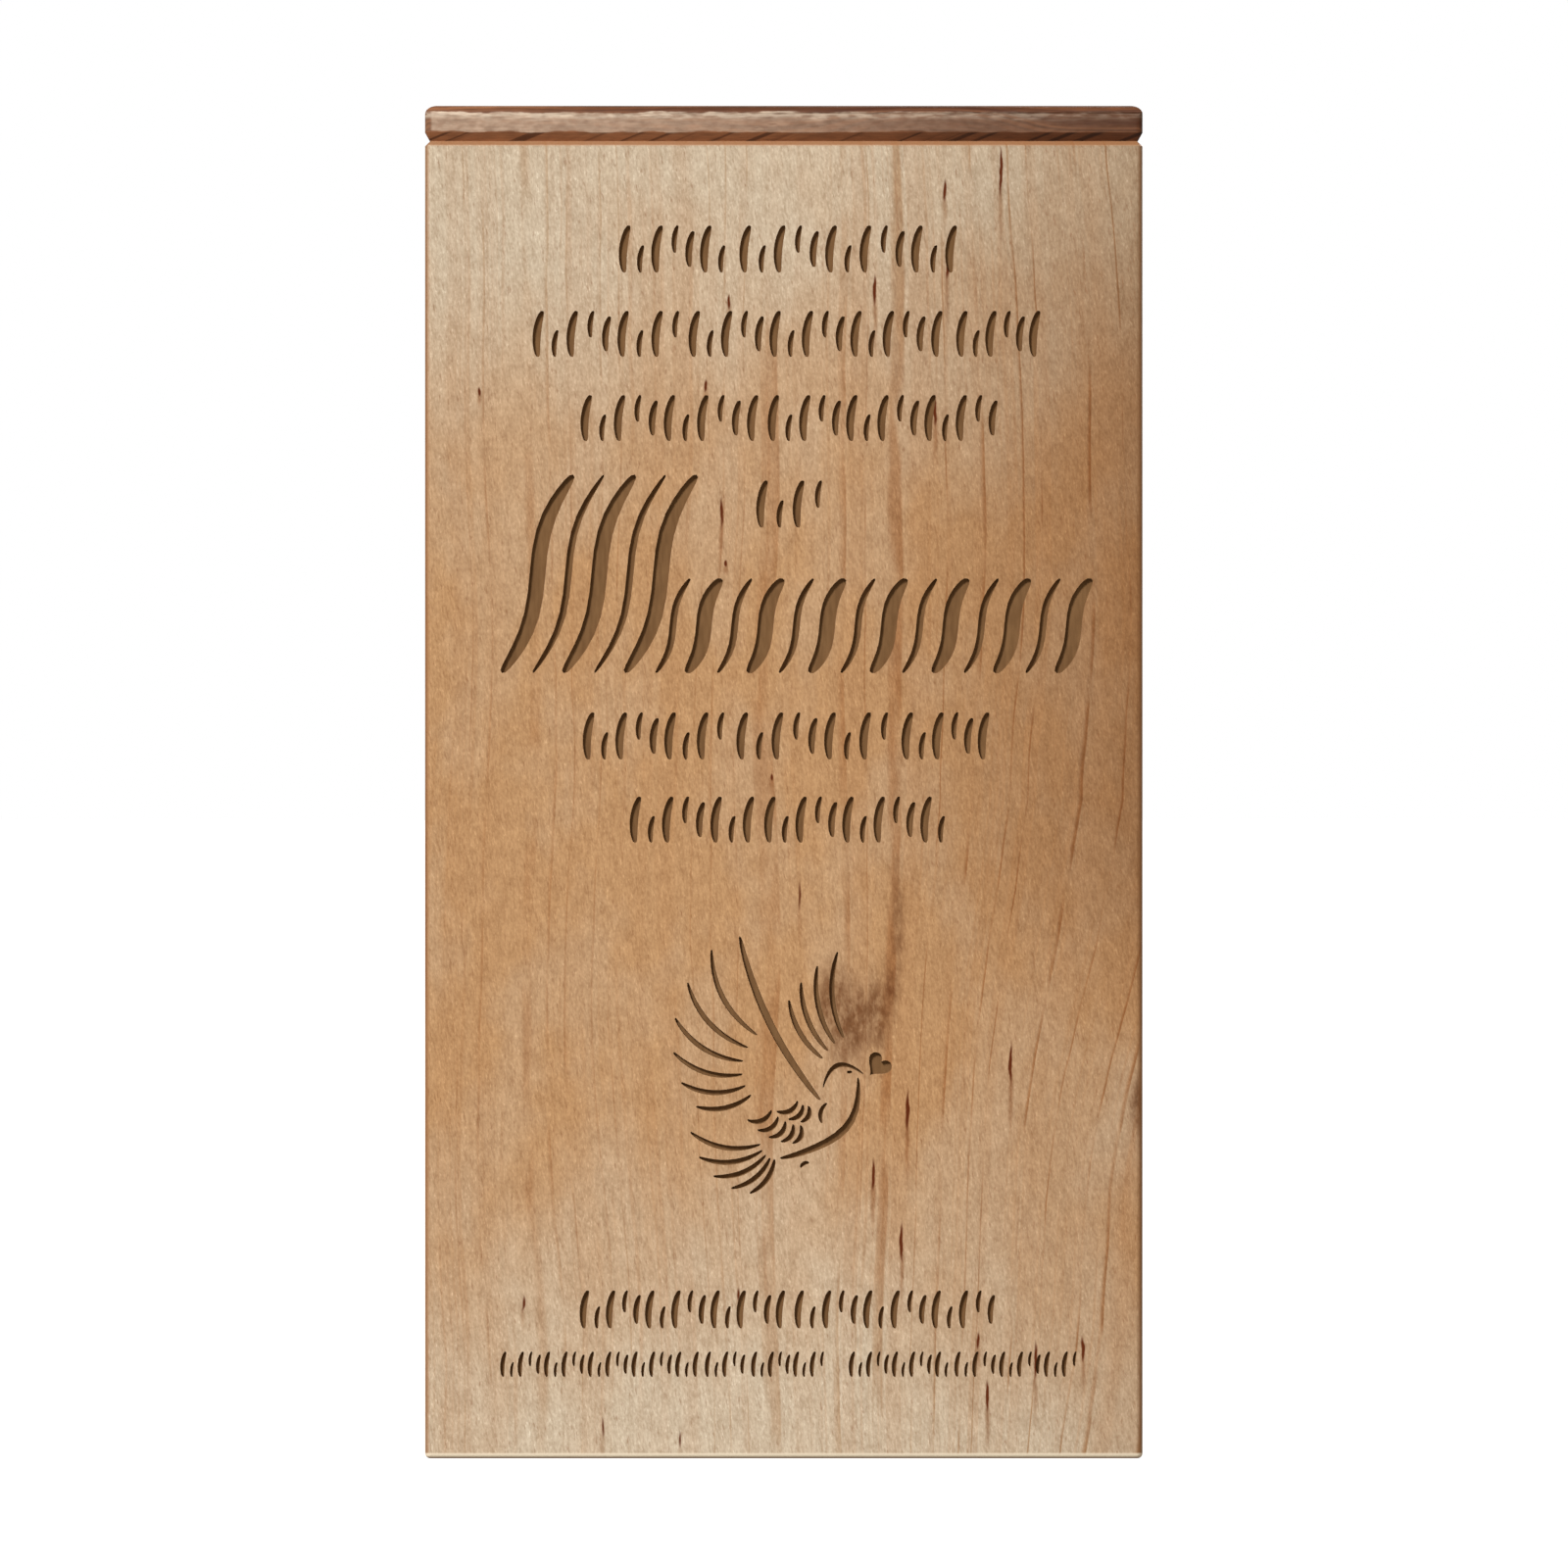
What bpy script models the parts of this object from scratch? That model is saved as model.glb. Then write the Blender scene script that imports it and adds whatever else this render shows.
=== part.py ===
# A tall cremation urn box: four mitred maple boards and a base board, under a lift-off walnut lid.
#
# Metres, +Z up, +X to the right of the front, -Y towards the front. The origin is on the surface
# that the box stands on, under the middle of its footprint.

import math

import bmesh
import bpy
from mathutils import Matrix, Vector
from mathutils.geometry import delaunay_2d_cdt

# Outside of the box
BODY_WIDTH = 0.140
BODY_DEPTH = 0.140
BODY_HEIGHT = 0.257
WALL = 0.0127
CORNER_ROUND = 0.0012
LEAST_ROUND = 0.0003
FOOT_ROUND = 0.0010
RIM_CHAMFER_DEPTH = 0.0010
RIM_CHAMFER_HEIGHT = 0.00105

# Lid: a thin moulded edge shows, and a tongue drops into the mouth of the box
LID_EDGE = 0.0067
LID_UNDERCUT_DEPTH = 0.0010
LID_UNDERCUT_HEIGHT = 0.0016
LID_ROUND_DEPTH = 0.0026
LID_ROUND_HEIGHT = 0.0019
TONGUE_DROP = 0.0060
TONGUE_CLEARANCE = 0.0006
TONGUE_EASE = 0.0005

# Base board in its groove
BASE_THICKNESS = 0.0064
BASE_LIFT = 0.0050
GROOVE_DEPTH = 0.0060

# Gap left between pieces that touch or are glued
JOINT_GAP = 0.0003

# Engraving on the front
ENGRAVING_DEPTH = 0.0007
STROKE_TAPER = 0.65
SIDE_MARGIN = 0.0115
TOP_MARGIN = 0.0165
FOOT_MARGIN = 0.0155
SWASH_WIDTH = 0.0032
HAIRLINE_WIDTH = 0.0014

# Points of crossing cuts that are nearer than this become one
WELD = 0.00002

# How finely curves are cut into facets
CORNER_STEPS = 4
ROUND_STEPS = 4
STEM_STEPS = 3
FEATHER_STEPS = 6
SWASH_STEPS = 9
HEART_STEPS = 18

# Edges sharper than this are shaded as edges
SHARP_ANGLE = math.radians(30)

# Finishes, as (colour, roughness)
MAPLE = ((0.55, 0.34, 0.18, 1.0), 0.45)
WALNUT = ((0.20, 0.09, 0.045, 1.0), 0.42)
BURNT = ((0.16, 0.09, 0.041, 1.0), 0.8)


# Shapes

def rounded_outline(width, depth, radius, z):
    """A rectangle with round corners at height z, anticlockwise seen from above."""
    points = []
    for quarter, (side_x, side_y) in enumerate(((1, 1), (-1, 1), (-1, -1), (1, -1))):
        centre = Vector((side_x * (width / 2 - radius), side_y * (depth / 2 - radius), z))
        for step in range(CORNER_STEPS + 1):
            angle = math.pi / 2 * (quarter + step / CORNER_STEPS)
            points.append(centre + radius * Vector((math.cos(angle), math.sin(angle), 0)))
    return points


def moulded_block(width, depth, sections):
    """A block whose edge follows sections, a list of (inset from the full outline, height)."""
    bm = bmesh.new()
    rings = []
    for inset, z in sections:
        radius = max(CORNER_ROUND - inset, LEAST_ROUND)
        outline = rounded_outline(width - 2 * inset, depth - 2 * inset, radius, z)
        verts = [bm.verts.new(point) for point in outline]
        rings.append([bm.edges.new(pair) for pair in zip(verts, verts[1:] + verts[:1])])
    for lower, upper in zip(rings, rings[1:]):
        bmesh.ops.bridge_loops(bm, edges=lower + upper)
    for ring in (rings[0], rings[-1]):
        bmesh.ops.holes_fill(bm, edges=ring)
    bmesh.ops.recalc_face_normals(bm, faces=bm.faces)
    return bm


def foot_curve(depth, height):
    """Sections of an edge eased by a quarter of an ellipse, from the underside up."""
    angles = [math.pi / 2 * step / ROUND_STEPS for step in range(ROUND_STEPS + 1)]
    return [(depth * (1 - math.sin(a)), height * (1 - math.cos(a))) for a in angles]


def shoulder_curve(depth, height, top):
    """The same quarter of an ellipse upside down, rising to top."""
    return [(inset, top - drop) for inset, drop in reversed(foot_curve(depth, height))]


def slice_off(bm, point, normal):
    """Cuts off what lies beyond the plane, on the side its normal points to, and closes the cut."""
    everything = bm.verts[:] + bm.edges[:] + bm.faces[:]
    cut = bmesh.ops.bisect_plane(
        bm, geom=everything, plane_co=point, plane_no=normal, clear_outer=True
    )
    edges = [item for item in cut["geom_cut"] if isinstance(item, bmesh.types.BMEdge)]
    bmesh.ops.holes_fill(bm, edges=edges)
    bmesh.ops.recalc_face_normals(bm, faces=bm.faces)


def slab(width, depth, height):
    """A plain box that stands on its own origin."""
    bm = bmesh.new()
    bmesh.ops.create_cube(bm, size=1.0)
    bmesh.ops.scale(bm, vec=(width, depth, height), verts=bm.verts)
    bmesh.ops.translate(bm, vec=(0, 0, height / 2), verts=bm.verts)
    return bm


# Objects

def material(name, colour, roughness):
    made = bpy.data.materials.new(name)
    made.use_nodes = True
    shader = made.node_tree.nodes["Principled BSDF"]
    shader.inputs["Base Color"].default_value = colour
    shader.inputs["Roughness"].default_value = roughness
    shader.inputs["Metallic"].default_value = 0.0
    return made


def add_object(name, bm, finish, parent, place=(0, 0, 0), turn=0.0):
    mesh = bpy.data.meshes.new(name)
    bm.to_mesh(mesh)
    bm.free()
    mesh.materials.append(finish)
    mesh.shade_smooth()
    mesh.set_sharp_from_angle(angle=SHARP_ANGLE)
    made = bpy.data.objects.new(name, mesh)
    bpy.context.scene.collection.objects.link(made)
    made.parent = parent
    made.location = place
    made.rotation_euler.z = turn
    return made


def cut_with(target, cutter):
    """Cuts the cutter's shape out of the target, which takes the cutter's finish in the cut."""
    modifier = target.modifiers.new("Cut " + cutter.name, "BOOLEAN")
    modifier.operation = "DIFFERENCE"
    modifier.solver = "EXACT"
    modifier.material_mode = "TRANSFER"
    modifier.object = cutter
    cutter.hide_render = True
    cutter.display_type = "WIRE"


# Walls. A wall is made facing -Y, with the foot of its outer face on its origin, then turned.

def wall_mesh(length):
    """A board with an eased foot and a chamfered rim, mitred at both ends."""
    foot = foot_curve(FOOT_ROUND, FOOT_ROUND)
    rim = [(0, BODY_HEIGHT - RIM_CHAMFER_HEIGHT), (RIM_CHAMFER_DEPTH, BODY_HEIGHT)]
    bm = moulded_block(length, length, foot + rim)
    bmesh.ops.translate(bm, vec=(0, length / 2, 0), verts=bm.verts)
    slice_off(bm, Vector((0, WALL, 0)), Vector((0, 1, 0)))
    for side in (-1, 1):
        mitre = Vector((side, 1, 0)).normalized()
        slice_off(bm, Vector((side * length / 2, 0, 0)) - mitre * JOINT_GAP / 2, mitre)
    return bm


def add_walls(finish, parent):
    quarter_turn = math.pi / 2
    places = {
        "front_panel": (BODY_WIDTH, (0, -BODY_DEPTH / 2, 0), 0),
        "right_panel": (BODY_DEPTH, (BODY_WIDTH / 2, 0, 0), quarter_turn),
        "back_panel": (BODY_WIDTH, (0, BODY_DEPTH / 2, 0), 2 * quarter_turn),
        "left_panel": (BODY_DEPTH, (-BODY_WIDTH / 2, 0, 0), -quarter_turn),
    }
    walls = {}
    for name, (length, place, turn) in places.items():
        walls[name] = add_object(name, wall_mesh(length), finish, parent, place, turn)
    return walls


# Base board, let into a groove round the inside of the walls

def add_base(finish, parent, walls):
    inner_width = BODY_WIDTH - 2 * WALL
    inner_depth = BODY_DEPTH - 2 * WALL
    groove = slab(
        inner_width + 2 * GROOVE_DEPTH,
        inner_depth + 2 * GROOVE_DEPTH,
        BASE_THICKNESS + 2 * JOINT_GAP,
    )
    cutter = add_object("base_groove", groove, finish, parent, (0, 0, BASE_LIFT - JOINT_GAP))
    for wall in walls.values():
        cut_with(wall, cutter)
    reach = GROOVE_DEPTH - JOINT_GAP
    board = slab(inner_width + 2 * reach, inner_depth + 2 * reach, BASE_THICKNESS)
    add_object("base_board", board, finish, parent, (0, 0, BASE_LIFT))


# Lid. Its origin is where its rim rests on the walls.

def add_lid(finish, parent):
    tongue_inset = WALL + TONGUE_CLEARANCE
    sections = [
        (tongue_inset + TONGUE_EASE, -TONGUE_DROP),
        (tongue_inset, -TONGUE_DROP + TONGUE_EASE),
        (tongue_inset, 0),
        (LID_UNDERCUT_DEPTH, 0),
        (0, LID_UNDERCUT_HEIGHT),
    ]
    sections += shoulder_curve(LID_ROUND_DEPTH, LID_ROUND_HEIGHT, LID_EDGE)
    block = moulded_block(BODY_WIDTH, BODY_DEPTH, sections)
    add_object("lid", block, finish, parent, (0, 0, BODY_HEIGHT + JOINT_GAP))


# Engraving. Every cut is a flat-bottomed pocket with an outline of (x, z) points on the front
# board's face. The rows are rhythms of plain strokes, and the figure is a flying dove.

def stroke(start, end, width, bow=0.0, sway=0.0, steps=STEM_STEPS):
    """A cut that is pointed at both ends. Bow bends it to its left, and sway bends it both ways."""
    start, end = Vector(start), Vector(end)
    along = (end - start).normalized()
    left = Vector((-along.y, along.x))
    left_side, right_side = [], []
    for step in range(1, steps):
        share = (1 - math.cos(math.pi * step / steps)) / 2
        bend = bow * 4 * share * (1 - share) + sway * math.sin(2 * math.pi * share)
        half = width / 2 * math.sin(math.pi * step / steps) ** STROKE_TAPER
        middle = start.lerp(end, share) + left * bend
        left_side.append(middle + left * half)
        right_side.append(middle - left * half)
    return [start] + right_side + [end] + left_side[::-1]


def heart(centre, size, turn):
    """A heart of about the given height, leaning by turn."""
    points = []
    for step in range(HEART_STEPS):
        t = 2 * math.pi * step / HEART_STEPS
        across = -math.sin(t) ** 3
        up = (13 * math.cos(t) - 5 * math.cos(2 * t) - 2 * math.cos(3 * t) - math.cos(4 * t)) / 16
        points.append(centre + Matrix.Rotation(turn, 2) @ Vector((across, up)) * size / 2)
    return points


def field_point(across, up):
    """A point of the front board's face from its shares of the field that the margins leave."""
    width = BODY_WIDTH - 2 * SIDE_MARGIN
    height = BODY_HEIGHT - TOP_MARGIN - FOOT_MARGIN
    return Vector(((across - 0.5) * width, FOOT_MARGIN + up * height))


# Rows of upright strokes: (foot, top, groups), in shares of the field, and a group is (from, to)
ROWS = (
    (0.959, 1.000, ((0.234, 0.404), (0.435, 0.786))),
    (0.886, 0.926, ((0.090, 0.324), (0.350, 0.762), (0.796, 0.925))),
    (0.813, 0.853, ((0.170, 0.455), (0.482, 0.855))),
    (0.738, 0.779, ((0.463, 0.562),)),
    (0.537, 0.578, ((0.174, 0.399), (0.430, 0.672), (0.705, 0.840))),
    (0.465, 0.505, ((0.252, 0.448), (0.476, 0.770))),
    (0.044, 0.077, ((0.167, 0.500), (0.525, 0.851))),
    (0.002, 0.024, ((0.032, 0.357), (0.373, 0.435), (0.450, 0.566), (0.613, 0.775), (0.789, 0.987))),
)
# In shares of a row's height: the distance from stroke to stroke, their lean and their bend, and
# the rhythm that they repeat, each as (foot, top, width)
ROW_PITCH = 0.35
ROW_LEAN = 0.10
ROW_BOW = 0.07
ROW_RHYTHM = (
    (0.00, 1.00, 0.180),
    (0.00, 0.58, 0.115),
    (0.00, 1.00, 0.180),
    (0.42, 1.00, 0.115),
    (0.12, 0.88, 0.150),
)


def row_strokes():
    cuts = []
    for foot, top, groups in ROWS:
        for first, last in groups:
            start, end = field_point(first, foot), field_point(last, foot)
            tall = field_point(first, top).y - start.y
            rise, lean = Vector((0, tall)), Vector((ROW_LEAN * tall, 0))
            gaps = max(1, round((end.x - start.x - lean.x) / (ROW_PITCH * tall)))
            for number in range(gaps + 1):
                low, high, width = ROW_RHYTHM[number % len(ROW_RHYTHM)]
                base = start.lerp(end - lean, number / gaps)
                begin = base + (rise + lean) * low
                finish = base + (rise + lean) * high
                cuts.append(stroke(begin, finish, width * tall, ROW_BOW * tall * (high - low)))
    return cuts


# The flowing line: leaning strokes, thick and thin by turns, of which the first ones are tall
FLOW_FOOT = 0.612
FLOW_TOP = 0.694
FLOW_TALL_TOP = 0.784
FLOW_FROM = 0.030
FLOW_TO = 0.955
FLOW_LEAN = 0.36
FLOW_SWAY = 0.045
FLOW_STROKES = 19
FLOW_TALL_STROKES = 5


def flow_strokes():
    cuts = []
    for number in range(FLOW_STROKES):
        across = FLOW_FROM + (FLOW_TO - FLOW_FROM) * number / (FLOW_STROKES - 1)
        base = field_point(across, FLOW_FOOT)
        top = FLOW_TALL_TOP if number < FLOW_TALL_STROKES else FLOW_TOP
        tall = field_point(across, top).y - base.y
        width = HAIRLINE_WIDTH if number % 2 else SWASH_WIDTH
        tip = base + Vector((FLOW_LEAN * tall, tall))
        cuts.append(stroke(base, tip, width, sway=-FLOW_SWAY * tall, steps=SWASH_STEPS))
    return cuts


# The dove. Its corner and height are shares of the field, and the rest are shares of its own
# height, measured from that corner, with angles in degrees
DOVE_CORNER = (0.342, 0.165)
DOVE_HEIGHT = 0.219
FEATHER_WIDTH = 0.021
# Fans of feathers: (pivot, first and last angle, first and last reach, share of its reach where
# a feather starts, number of feathers, bow as a share of a feather's length)
DOVE_FANS = (
    ((0.38, 0.40), (118, 192), (0.62, 0.36), 0.38, 6, 0.13),
    ((0.63, 0.34), (94, 120), (0.60, 0.47), 0.43, 4, 0.10),
    ((0.50, 0.38), (202, 246), (0.29, 0.22), 0.64, 5, 0.22),
    ((0.50, 0.38), (206, 244), (0.17, 0.13), 0.45, 3, 0.22),
    ((0.37, 0.16), (170, 234), (0.37, 0.22), 0.24, 5, 0.13),
)
# Single lines: (start, end, width, bow, sway)
DOVE_LINES = (
    ((0.52, 0.35), (0.20, 1.00), 0.029, 0.045, 0.0),
    ((0.53, 0.40), (0.69, 0.455), 0.020, 0.065, 0.0),
    ((0.670, 0.440), (0.36, 0.120), 0.032, 0.100, 0.012),
    ((0.625, 0.462), (0.645, 0.462), 0.012, 0.0, 0.0),
    ((0.545, 0.34), (0.525, 0.26), 0.018, -0.014, 0.0),
    ((0.440, 0.085), (0.475, 0.105), 0.016, 0.006, 0.0),
)
# The heart by its beak: (centre, size, turn)
DOVE_HEART = ((0.750, 0.490), 0.102, -40)


def dove_cuts():
    corner = field_point(*DOVE_CORNER)
    tall = field_point(0, DOVE_HEIGHT).y - field_point(0, 0).y

    def place(across, up):
        return corner + Vector((across, up)) * tall

    cuts = []
    for pivot, angles, reaches, root, feathers, bow in DOVE_FANS:
        for number in range(feathers):
            share = number / (feathers - 1)
            angle = math.radians(angles[0] + (angles[1] - angles[0]) * share)
            reach = reaches[0] + (reaches[1] - reaches[0]) * share
            ray = Vector((math.cos(angle), math.sin(angle))) * reach * tall
            begin, finish = place(*pivot) + ray * root, place(*pivot) + ray
            length = (finish - begin).length
            cuts.append(
                stroke(begin, finish, FEATHER_WIDTH * tall, bow * length, steps=FEATHER_STEPS)
            )
    for begin, finish, width, bow, sway in DOVE_LINES:
        begin, finish = place(*begin), place(*finish)
        cuts.append(stroke(begin, finish, width * tall, bow * tall, sway * tall, SWASH_STEPS))
    centre, size, turn = DOVE_HEART
    cuts.append(heart(place(*centre), size * tall, math.radians(turn)))
    return cuts


def merged_outlines(outlines):
    """The points and faces that the outlines cover together, also where they cross."""
    points, loops = [], []
    for outline in outlines:
        loops.append(range(len(points), len(points) + len(outline)))
        points += outline
    with_holes_open = 4
    merged = delaunay_2d_cdt(points, [], loops, with_holes_open, WELD)
    return merged[0], merged[2]


def add_engraving(finish, front_panel):
    points, faces = merged_outlines(row_strokes() + flow_strokes() + dove_cuts())
    bm = bmesh.new()
    verts = [bm.verts.new((x, ENGRAVING_DEPTH, z)) for x, z in points]
    floors = [bm.faces.new([verts[index] for index in face]) for face in faces]
    mouth = bmesh.ops.extrude_face_region(bm, geom=floors)["geom"]
    raised = [item for item in mouth if isinstance(item, bmesh.types.BMVert)]
    bmesh.ops.translate(bm, vec=(0, -2 * ENGRAVING_DEPTH, 0), verts=raised)
    bmesh.ops.recalc_face_normals(bm, faces=bm.faces)
    cut_with(front_panel, add_object("engraving", bm, finish, front_panel))


def main():
    for leftover in list(bpy.data.objects):
        bpy.data.objects.remove(leftover)
    maple = material("maple", *MAPLE)
    walnut = material("walnut", *WALNUT)
    burnt = material("engraved", *BURNT)
    box = bpy.data.objects.new("urn_box", None)
    bpy.context.scene.collection.objects.link(box)
    walls = add_walls(maple, box)
    add_base(maple, box, walls)
    add_lid(walnut, box)
    add_engraving(burnt, walls["front_panel"])


main()
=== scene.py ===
# %% [markdown]
# # A wooden urn box with an engraved front
#
# The box is four maple boards, mitred at the corners, with a base board let into a groove and a
# walnut lid that lifts off. The front board carries rows of small cuts and a flying dove.
#
# The plain boards already exist, at their real size, as the frame that the first cell loads. This
# script builds finer boards in the same places, and then it gives every piece its finish. All
# measures are metres, +Z is up, and the front faces -Y.

import math
import random
from collections import namedtuple

import bmesh
import bpy
from mathutils import Matrix, Vector


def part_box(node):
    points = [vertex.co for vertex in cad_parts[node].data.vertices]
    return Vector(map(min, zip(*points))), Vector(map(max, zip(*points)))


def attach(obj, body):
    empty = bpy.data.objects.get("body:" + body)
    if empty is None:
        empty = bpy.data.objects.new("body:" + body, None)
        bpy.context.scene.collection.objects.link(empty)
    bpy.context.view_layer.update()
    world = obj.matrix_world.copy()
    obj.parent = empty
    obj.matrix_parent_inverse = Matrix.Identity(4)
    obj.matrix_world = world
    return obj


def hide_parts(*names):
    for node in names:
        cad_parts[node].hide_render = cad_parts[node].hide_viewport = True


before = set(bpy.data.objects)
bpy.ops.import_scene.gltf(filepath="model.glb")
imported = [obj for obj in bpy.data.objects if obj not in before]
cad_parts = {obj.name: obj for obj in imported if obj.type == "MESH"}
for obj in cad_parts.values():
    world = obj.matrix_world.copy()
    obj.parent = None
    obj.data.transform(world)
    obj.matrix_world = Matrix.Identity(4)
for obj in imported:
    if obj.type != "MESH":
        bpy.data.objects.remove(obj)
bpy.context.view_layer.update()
print("pieces in the frame:", sorted(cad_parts))

# %% [markdown]
# ## Measure the box
#
# Every new piece takes its size and place from the frame, so it fits the first time. The front
# board's box gives the face, the height and the thickness of a wall, and the lid's box gives the
# foot of its tongue and its top.

# %% Measure the box
front_lo, front_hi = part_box("front_panel")
lid_lo, lid_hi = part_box("lid")
base_lo, base_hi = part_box("base_board")

HALF_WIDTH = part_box("right_panel")[1].x
HALF_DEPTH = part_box("back_panel")[1].y
FACE = front_lo.y
RIM = front_hi.z
WALL = front_hi.y - front_lo.y
TOP = lid_hi.z
TONGUE_FOOT = lid_lo.z
print(f"walls {WALL * 1000:.1f} mm thick, {RIM * 1000:.1f} mm high, lid top at {TOP * 1000:.1f} mm")

# %% [markdown]
# ## From bmesh to object
#
# Each piece is modelled in a bmesh, which is Blender's editable mesh in memory, and then it is
# written once into an object. The object stays at the origin, unturned, because its place is in
# the mesh. Broad flat faces are shaded flat and eased edges smooth: if both were smooth, the
# shading would bend across the whole face towards each rounded edge.

# %% A finished object
SHARP_ANGLE = math.radians(30)
FLAT_ENOUGH = 0.99999


def shade_like_joinery(mesh):
    """Smooth round the eased edges, and flat on every face that is square to an axis."""
    mesh.shade_smooth()
    mesh.set_sharp_from_angle(angle=SHARP_ANGLE)
    for face in mesh.polygons:
        face.use_smooth = max(abs(part) for part in face.normal) < FLAT_ENOUGH


def make_object(name, bm):
    bmesh.ops.recalc_face_normals(bm, faces=bm.faces)
    mesh = bpy.data.meshes.new(name)
    bm.to_mesh(mesh)
    bm.free()
    shade_like_joinery(mesh)
    made = bpy.data.objects.new(name, mesh)
    bpy.context.scene.collection.objects.link(made)
    return made


# %% [markdown]
# ## The outside of the box as one block
#
# A real box is glued up first and its edges are eased afterwards, so the four boards share one
# smooth outside. The same order works here: a cube is stretched to the size of the box and
# bevelled in three goes. The upright corners and the foot get a small round, and the rim gets a
# single flat chamfer, which makes the upper half of the groove that shows under the lid.

# %% Bevel the block
CORNER_ROUND = 0.0012
FOOT_ROUND = 0.0010
RIM_CHAMFER = 0.0010
ROUND_SEGMENTS = 6
NEARLY = 1e-6


def edges_at_height(bm, height):
    """The edges that lie level at one height."""
    return [e for e in bm.edges if all(abs(v.co.z - height) < NEARLY for v in e.verts)]


def upright_edges(bm):
    return [e for e in bm.edges if (e.verts[0].co - e.verts[1].co).xy.length < NEARLY]


def ease_edges(bm, edges, width, segments):
    bmesh.ops.bevel(
        bm, geom=edges, offset=width, segments=segments, profile=0.5, affect="EDGES", material=-1
    )


def block(low, high):
    """A plain block between two corners."""
    bm = bmesh.new()
    bmesh.ops.create_cube(bm, size=1.0)
    bmesh.ops.scale(bm, vec=high - low, verts=bm.verts)
    bmesh.ops.translate(bm, vec=(low + high) / 2, verts=bm.verts)
    return bm


def whole_box():
    """The solid block that all four boards are sliced from, with its edges eased."""
    bm = block(Vector((-HALF_WIDTH, -HALF_DEPTH, 0)), Vector((HALF_WIDTH, HALF_DEPTH, RIM)))
    ease_edges(bm, upright_edges(bm), CORNER_ROUND, ROUND_SEGMENTS)
    ease_edges(bm, edges_at_height(bm, 0), FOOT_ROUND, ROUND_SEGMENTS)
    ease_edges(bm, edges_at_height(bm, RIM), RIM_CHAMFER, 1)
    return bm


# %% [markdown]
# ## Four boards from the block
#
# Three cuts turn a copy of the block into one board: a cut along the inner face of the wall, and a
# 45 degree mitre at each end. The same cuts, turned by quarter turns, give all four boards. A
# hairline is left in each mitre, as a glue line that is just visible on the real corner.

# %% Slice the boards
HAIRLINE = 0.00004
QUARTER_TURN = math.pi / 2


def slice_off(bm, point, normal):
    """Removes what lies beyond the plane, and closes the cut."""
    everything = bm.verts[:] + bm.edges[:] + bm.faces[:]
    cut = bmesh.ops.bisect_plane(
        bm, geom=everything, plane_co=point, plane_no=normal, clear_outer=True
    )
    rim = [item for item in cut["geom_cut"] if isinstance(item, bmesh.types.BMEdge)]
    bmesh.ops.holes_fill(bm, edges=rim)


def board(name, turn):
    """The board that faces the front after being turned about the upright axis."""
    spin = Matrix.Rotation(turn, 3, "Z")
    inner_face = spin @ Vector((0, -HALF_DEPTH + WALL, 0))
    bm = whole_box()
    slice_off(bm, inner_face, spin @ Vector((0, 1, 0)))
    for side in (-1, 1):
        mitre = spin @ Vector((side, 1, 0)).normalized()
        corner = spin @ Vector((side * HALF_WIDTH, -HALF_DEPTH, 0))
        slice_off(bm, corner - mitre * HAIRLINE / 2, mitre)
    return make_object(name, bm)


TURNS = {
    "front_board": 0,
    "right_board": QUARTER_TURN,
    "back_board": 2 * QUARTER_TURN,
    "left_board": -QUARTER_TURN,
}
boards = {name: board(name, turn) for name, turn in TURNS.items()}
print("boards:", {name: len(made.data.polygons) for name, made in boards.items()})

# %% [markdown]
# ## The groove for the base board
#
# The base board sits in a groove that runs round the inside of the walls. A Boolean takes one slab
# away from each board in turn. Once the cut is right, it is made permanent: the evaluated mesh
# replaces the old one, and the cutter is thrown away.

# %% Cut the groove
def carve(target, cutter):
    """Cuts the cutter out of the target for good. The cut keeps the cutter's finish."""
    cut = target.modifiers.new("cut", "BOOLEAN")
    cut.operation = "DIFFERENCE"
    cut.solver = "EXACT"
    cut.material_mode = "TRANSFER"
    cut.object = cutter
    bpy.context.view_layer.update()
    evaluated = target.evaluated_get(bpy.context.evaluated_depsgraph_get())
    carved = bpy.data.meshes.new_from_object(evaluated)
    target.modifiers.remove(cut)
    target.data = carved
    shade_like_joinery(carved)


clearance = Vector((HAIRLINE, HAIRLINE, HAIRLINE))
groove = make_object("groove_cutter", block(base_lo - clearance, base_hi + clearance))
for made in boards.values():
    carve(made, groove)
bpy.data.objects.remove(groove)
print("groove:", f"{(base_hi.z - base_lo.z) * 1000:.1f} mm high")

# %% [markdown]
# ## One cut of the engraving
#
# Each mark is a pocket with a flat floor and slightly sloping walls, as a cutter leaves it. It
# could be drawn as a curve and extruded, but a simpler way is to press a round plug into shape: a
# short cylinder of radius 1 is made with create_cone, and each of its points is then moved by one
# rule. A stroke keeps nearly its full width along the middle and tapers to a point at both ends,
# and a bow or a sway bends it. The floor is narrower than the mouth, so the walls slope.

# %% Press one cut
CUT_DEPTH = 0.0007
MOUTH_RISE = 0.0003
WALL_SLOPE = 0.00013
LEAST_FLOOR = 0.35
PLUG_SIDES = 32
STROKE_TAPER = 0.65


def plug(bm):
    """A short cylinder: the ring at -0.5 becomes the mouth and the ring at 0.5 the floor."""
    made = bmesh.ops.create_cone(
        bm, cap_ends=True, segments=PLUG_SIDES, radius1=1, radius2=1, depth=1
    )
    return made["verts"]


def settle(vert, point, is_floor):
    """Puts a point of a cut at its place on the face, at the mouth's or the floor's depth."""
    vert.co = Vector((point.x, FACE + (CUT_DEPTH if is_floor else -MOUTH_RISE), point.y))


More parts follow.
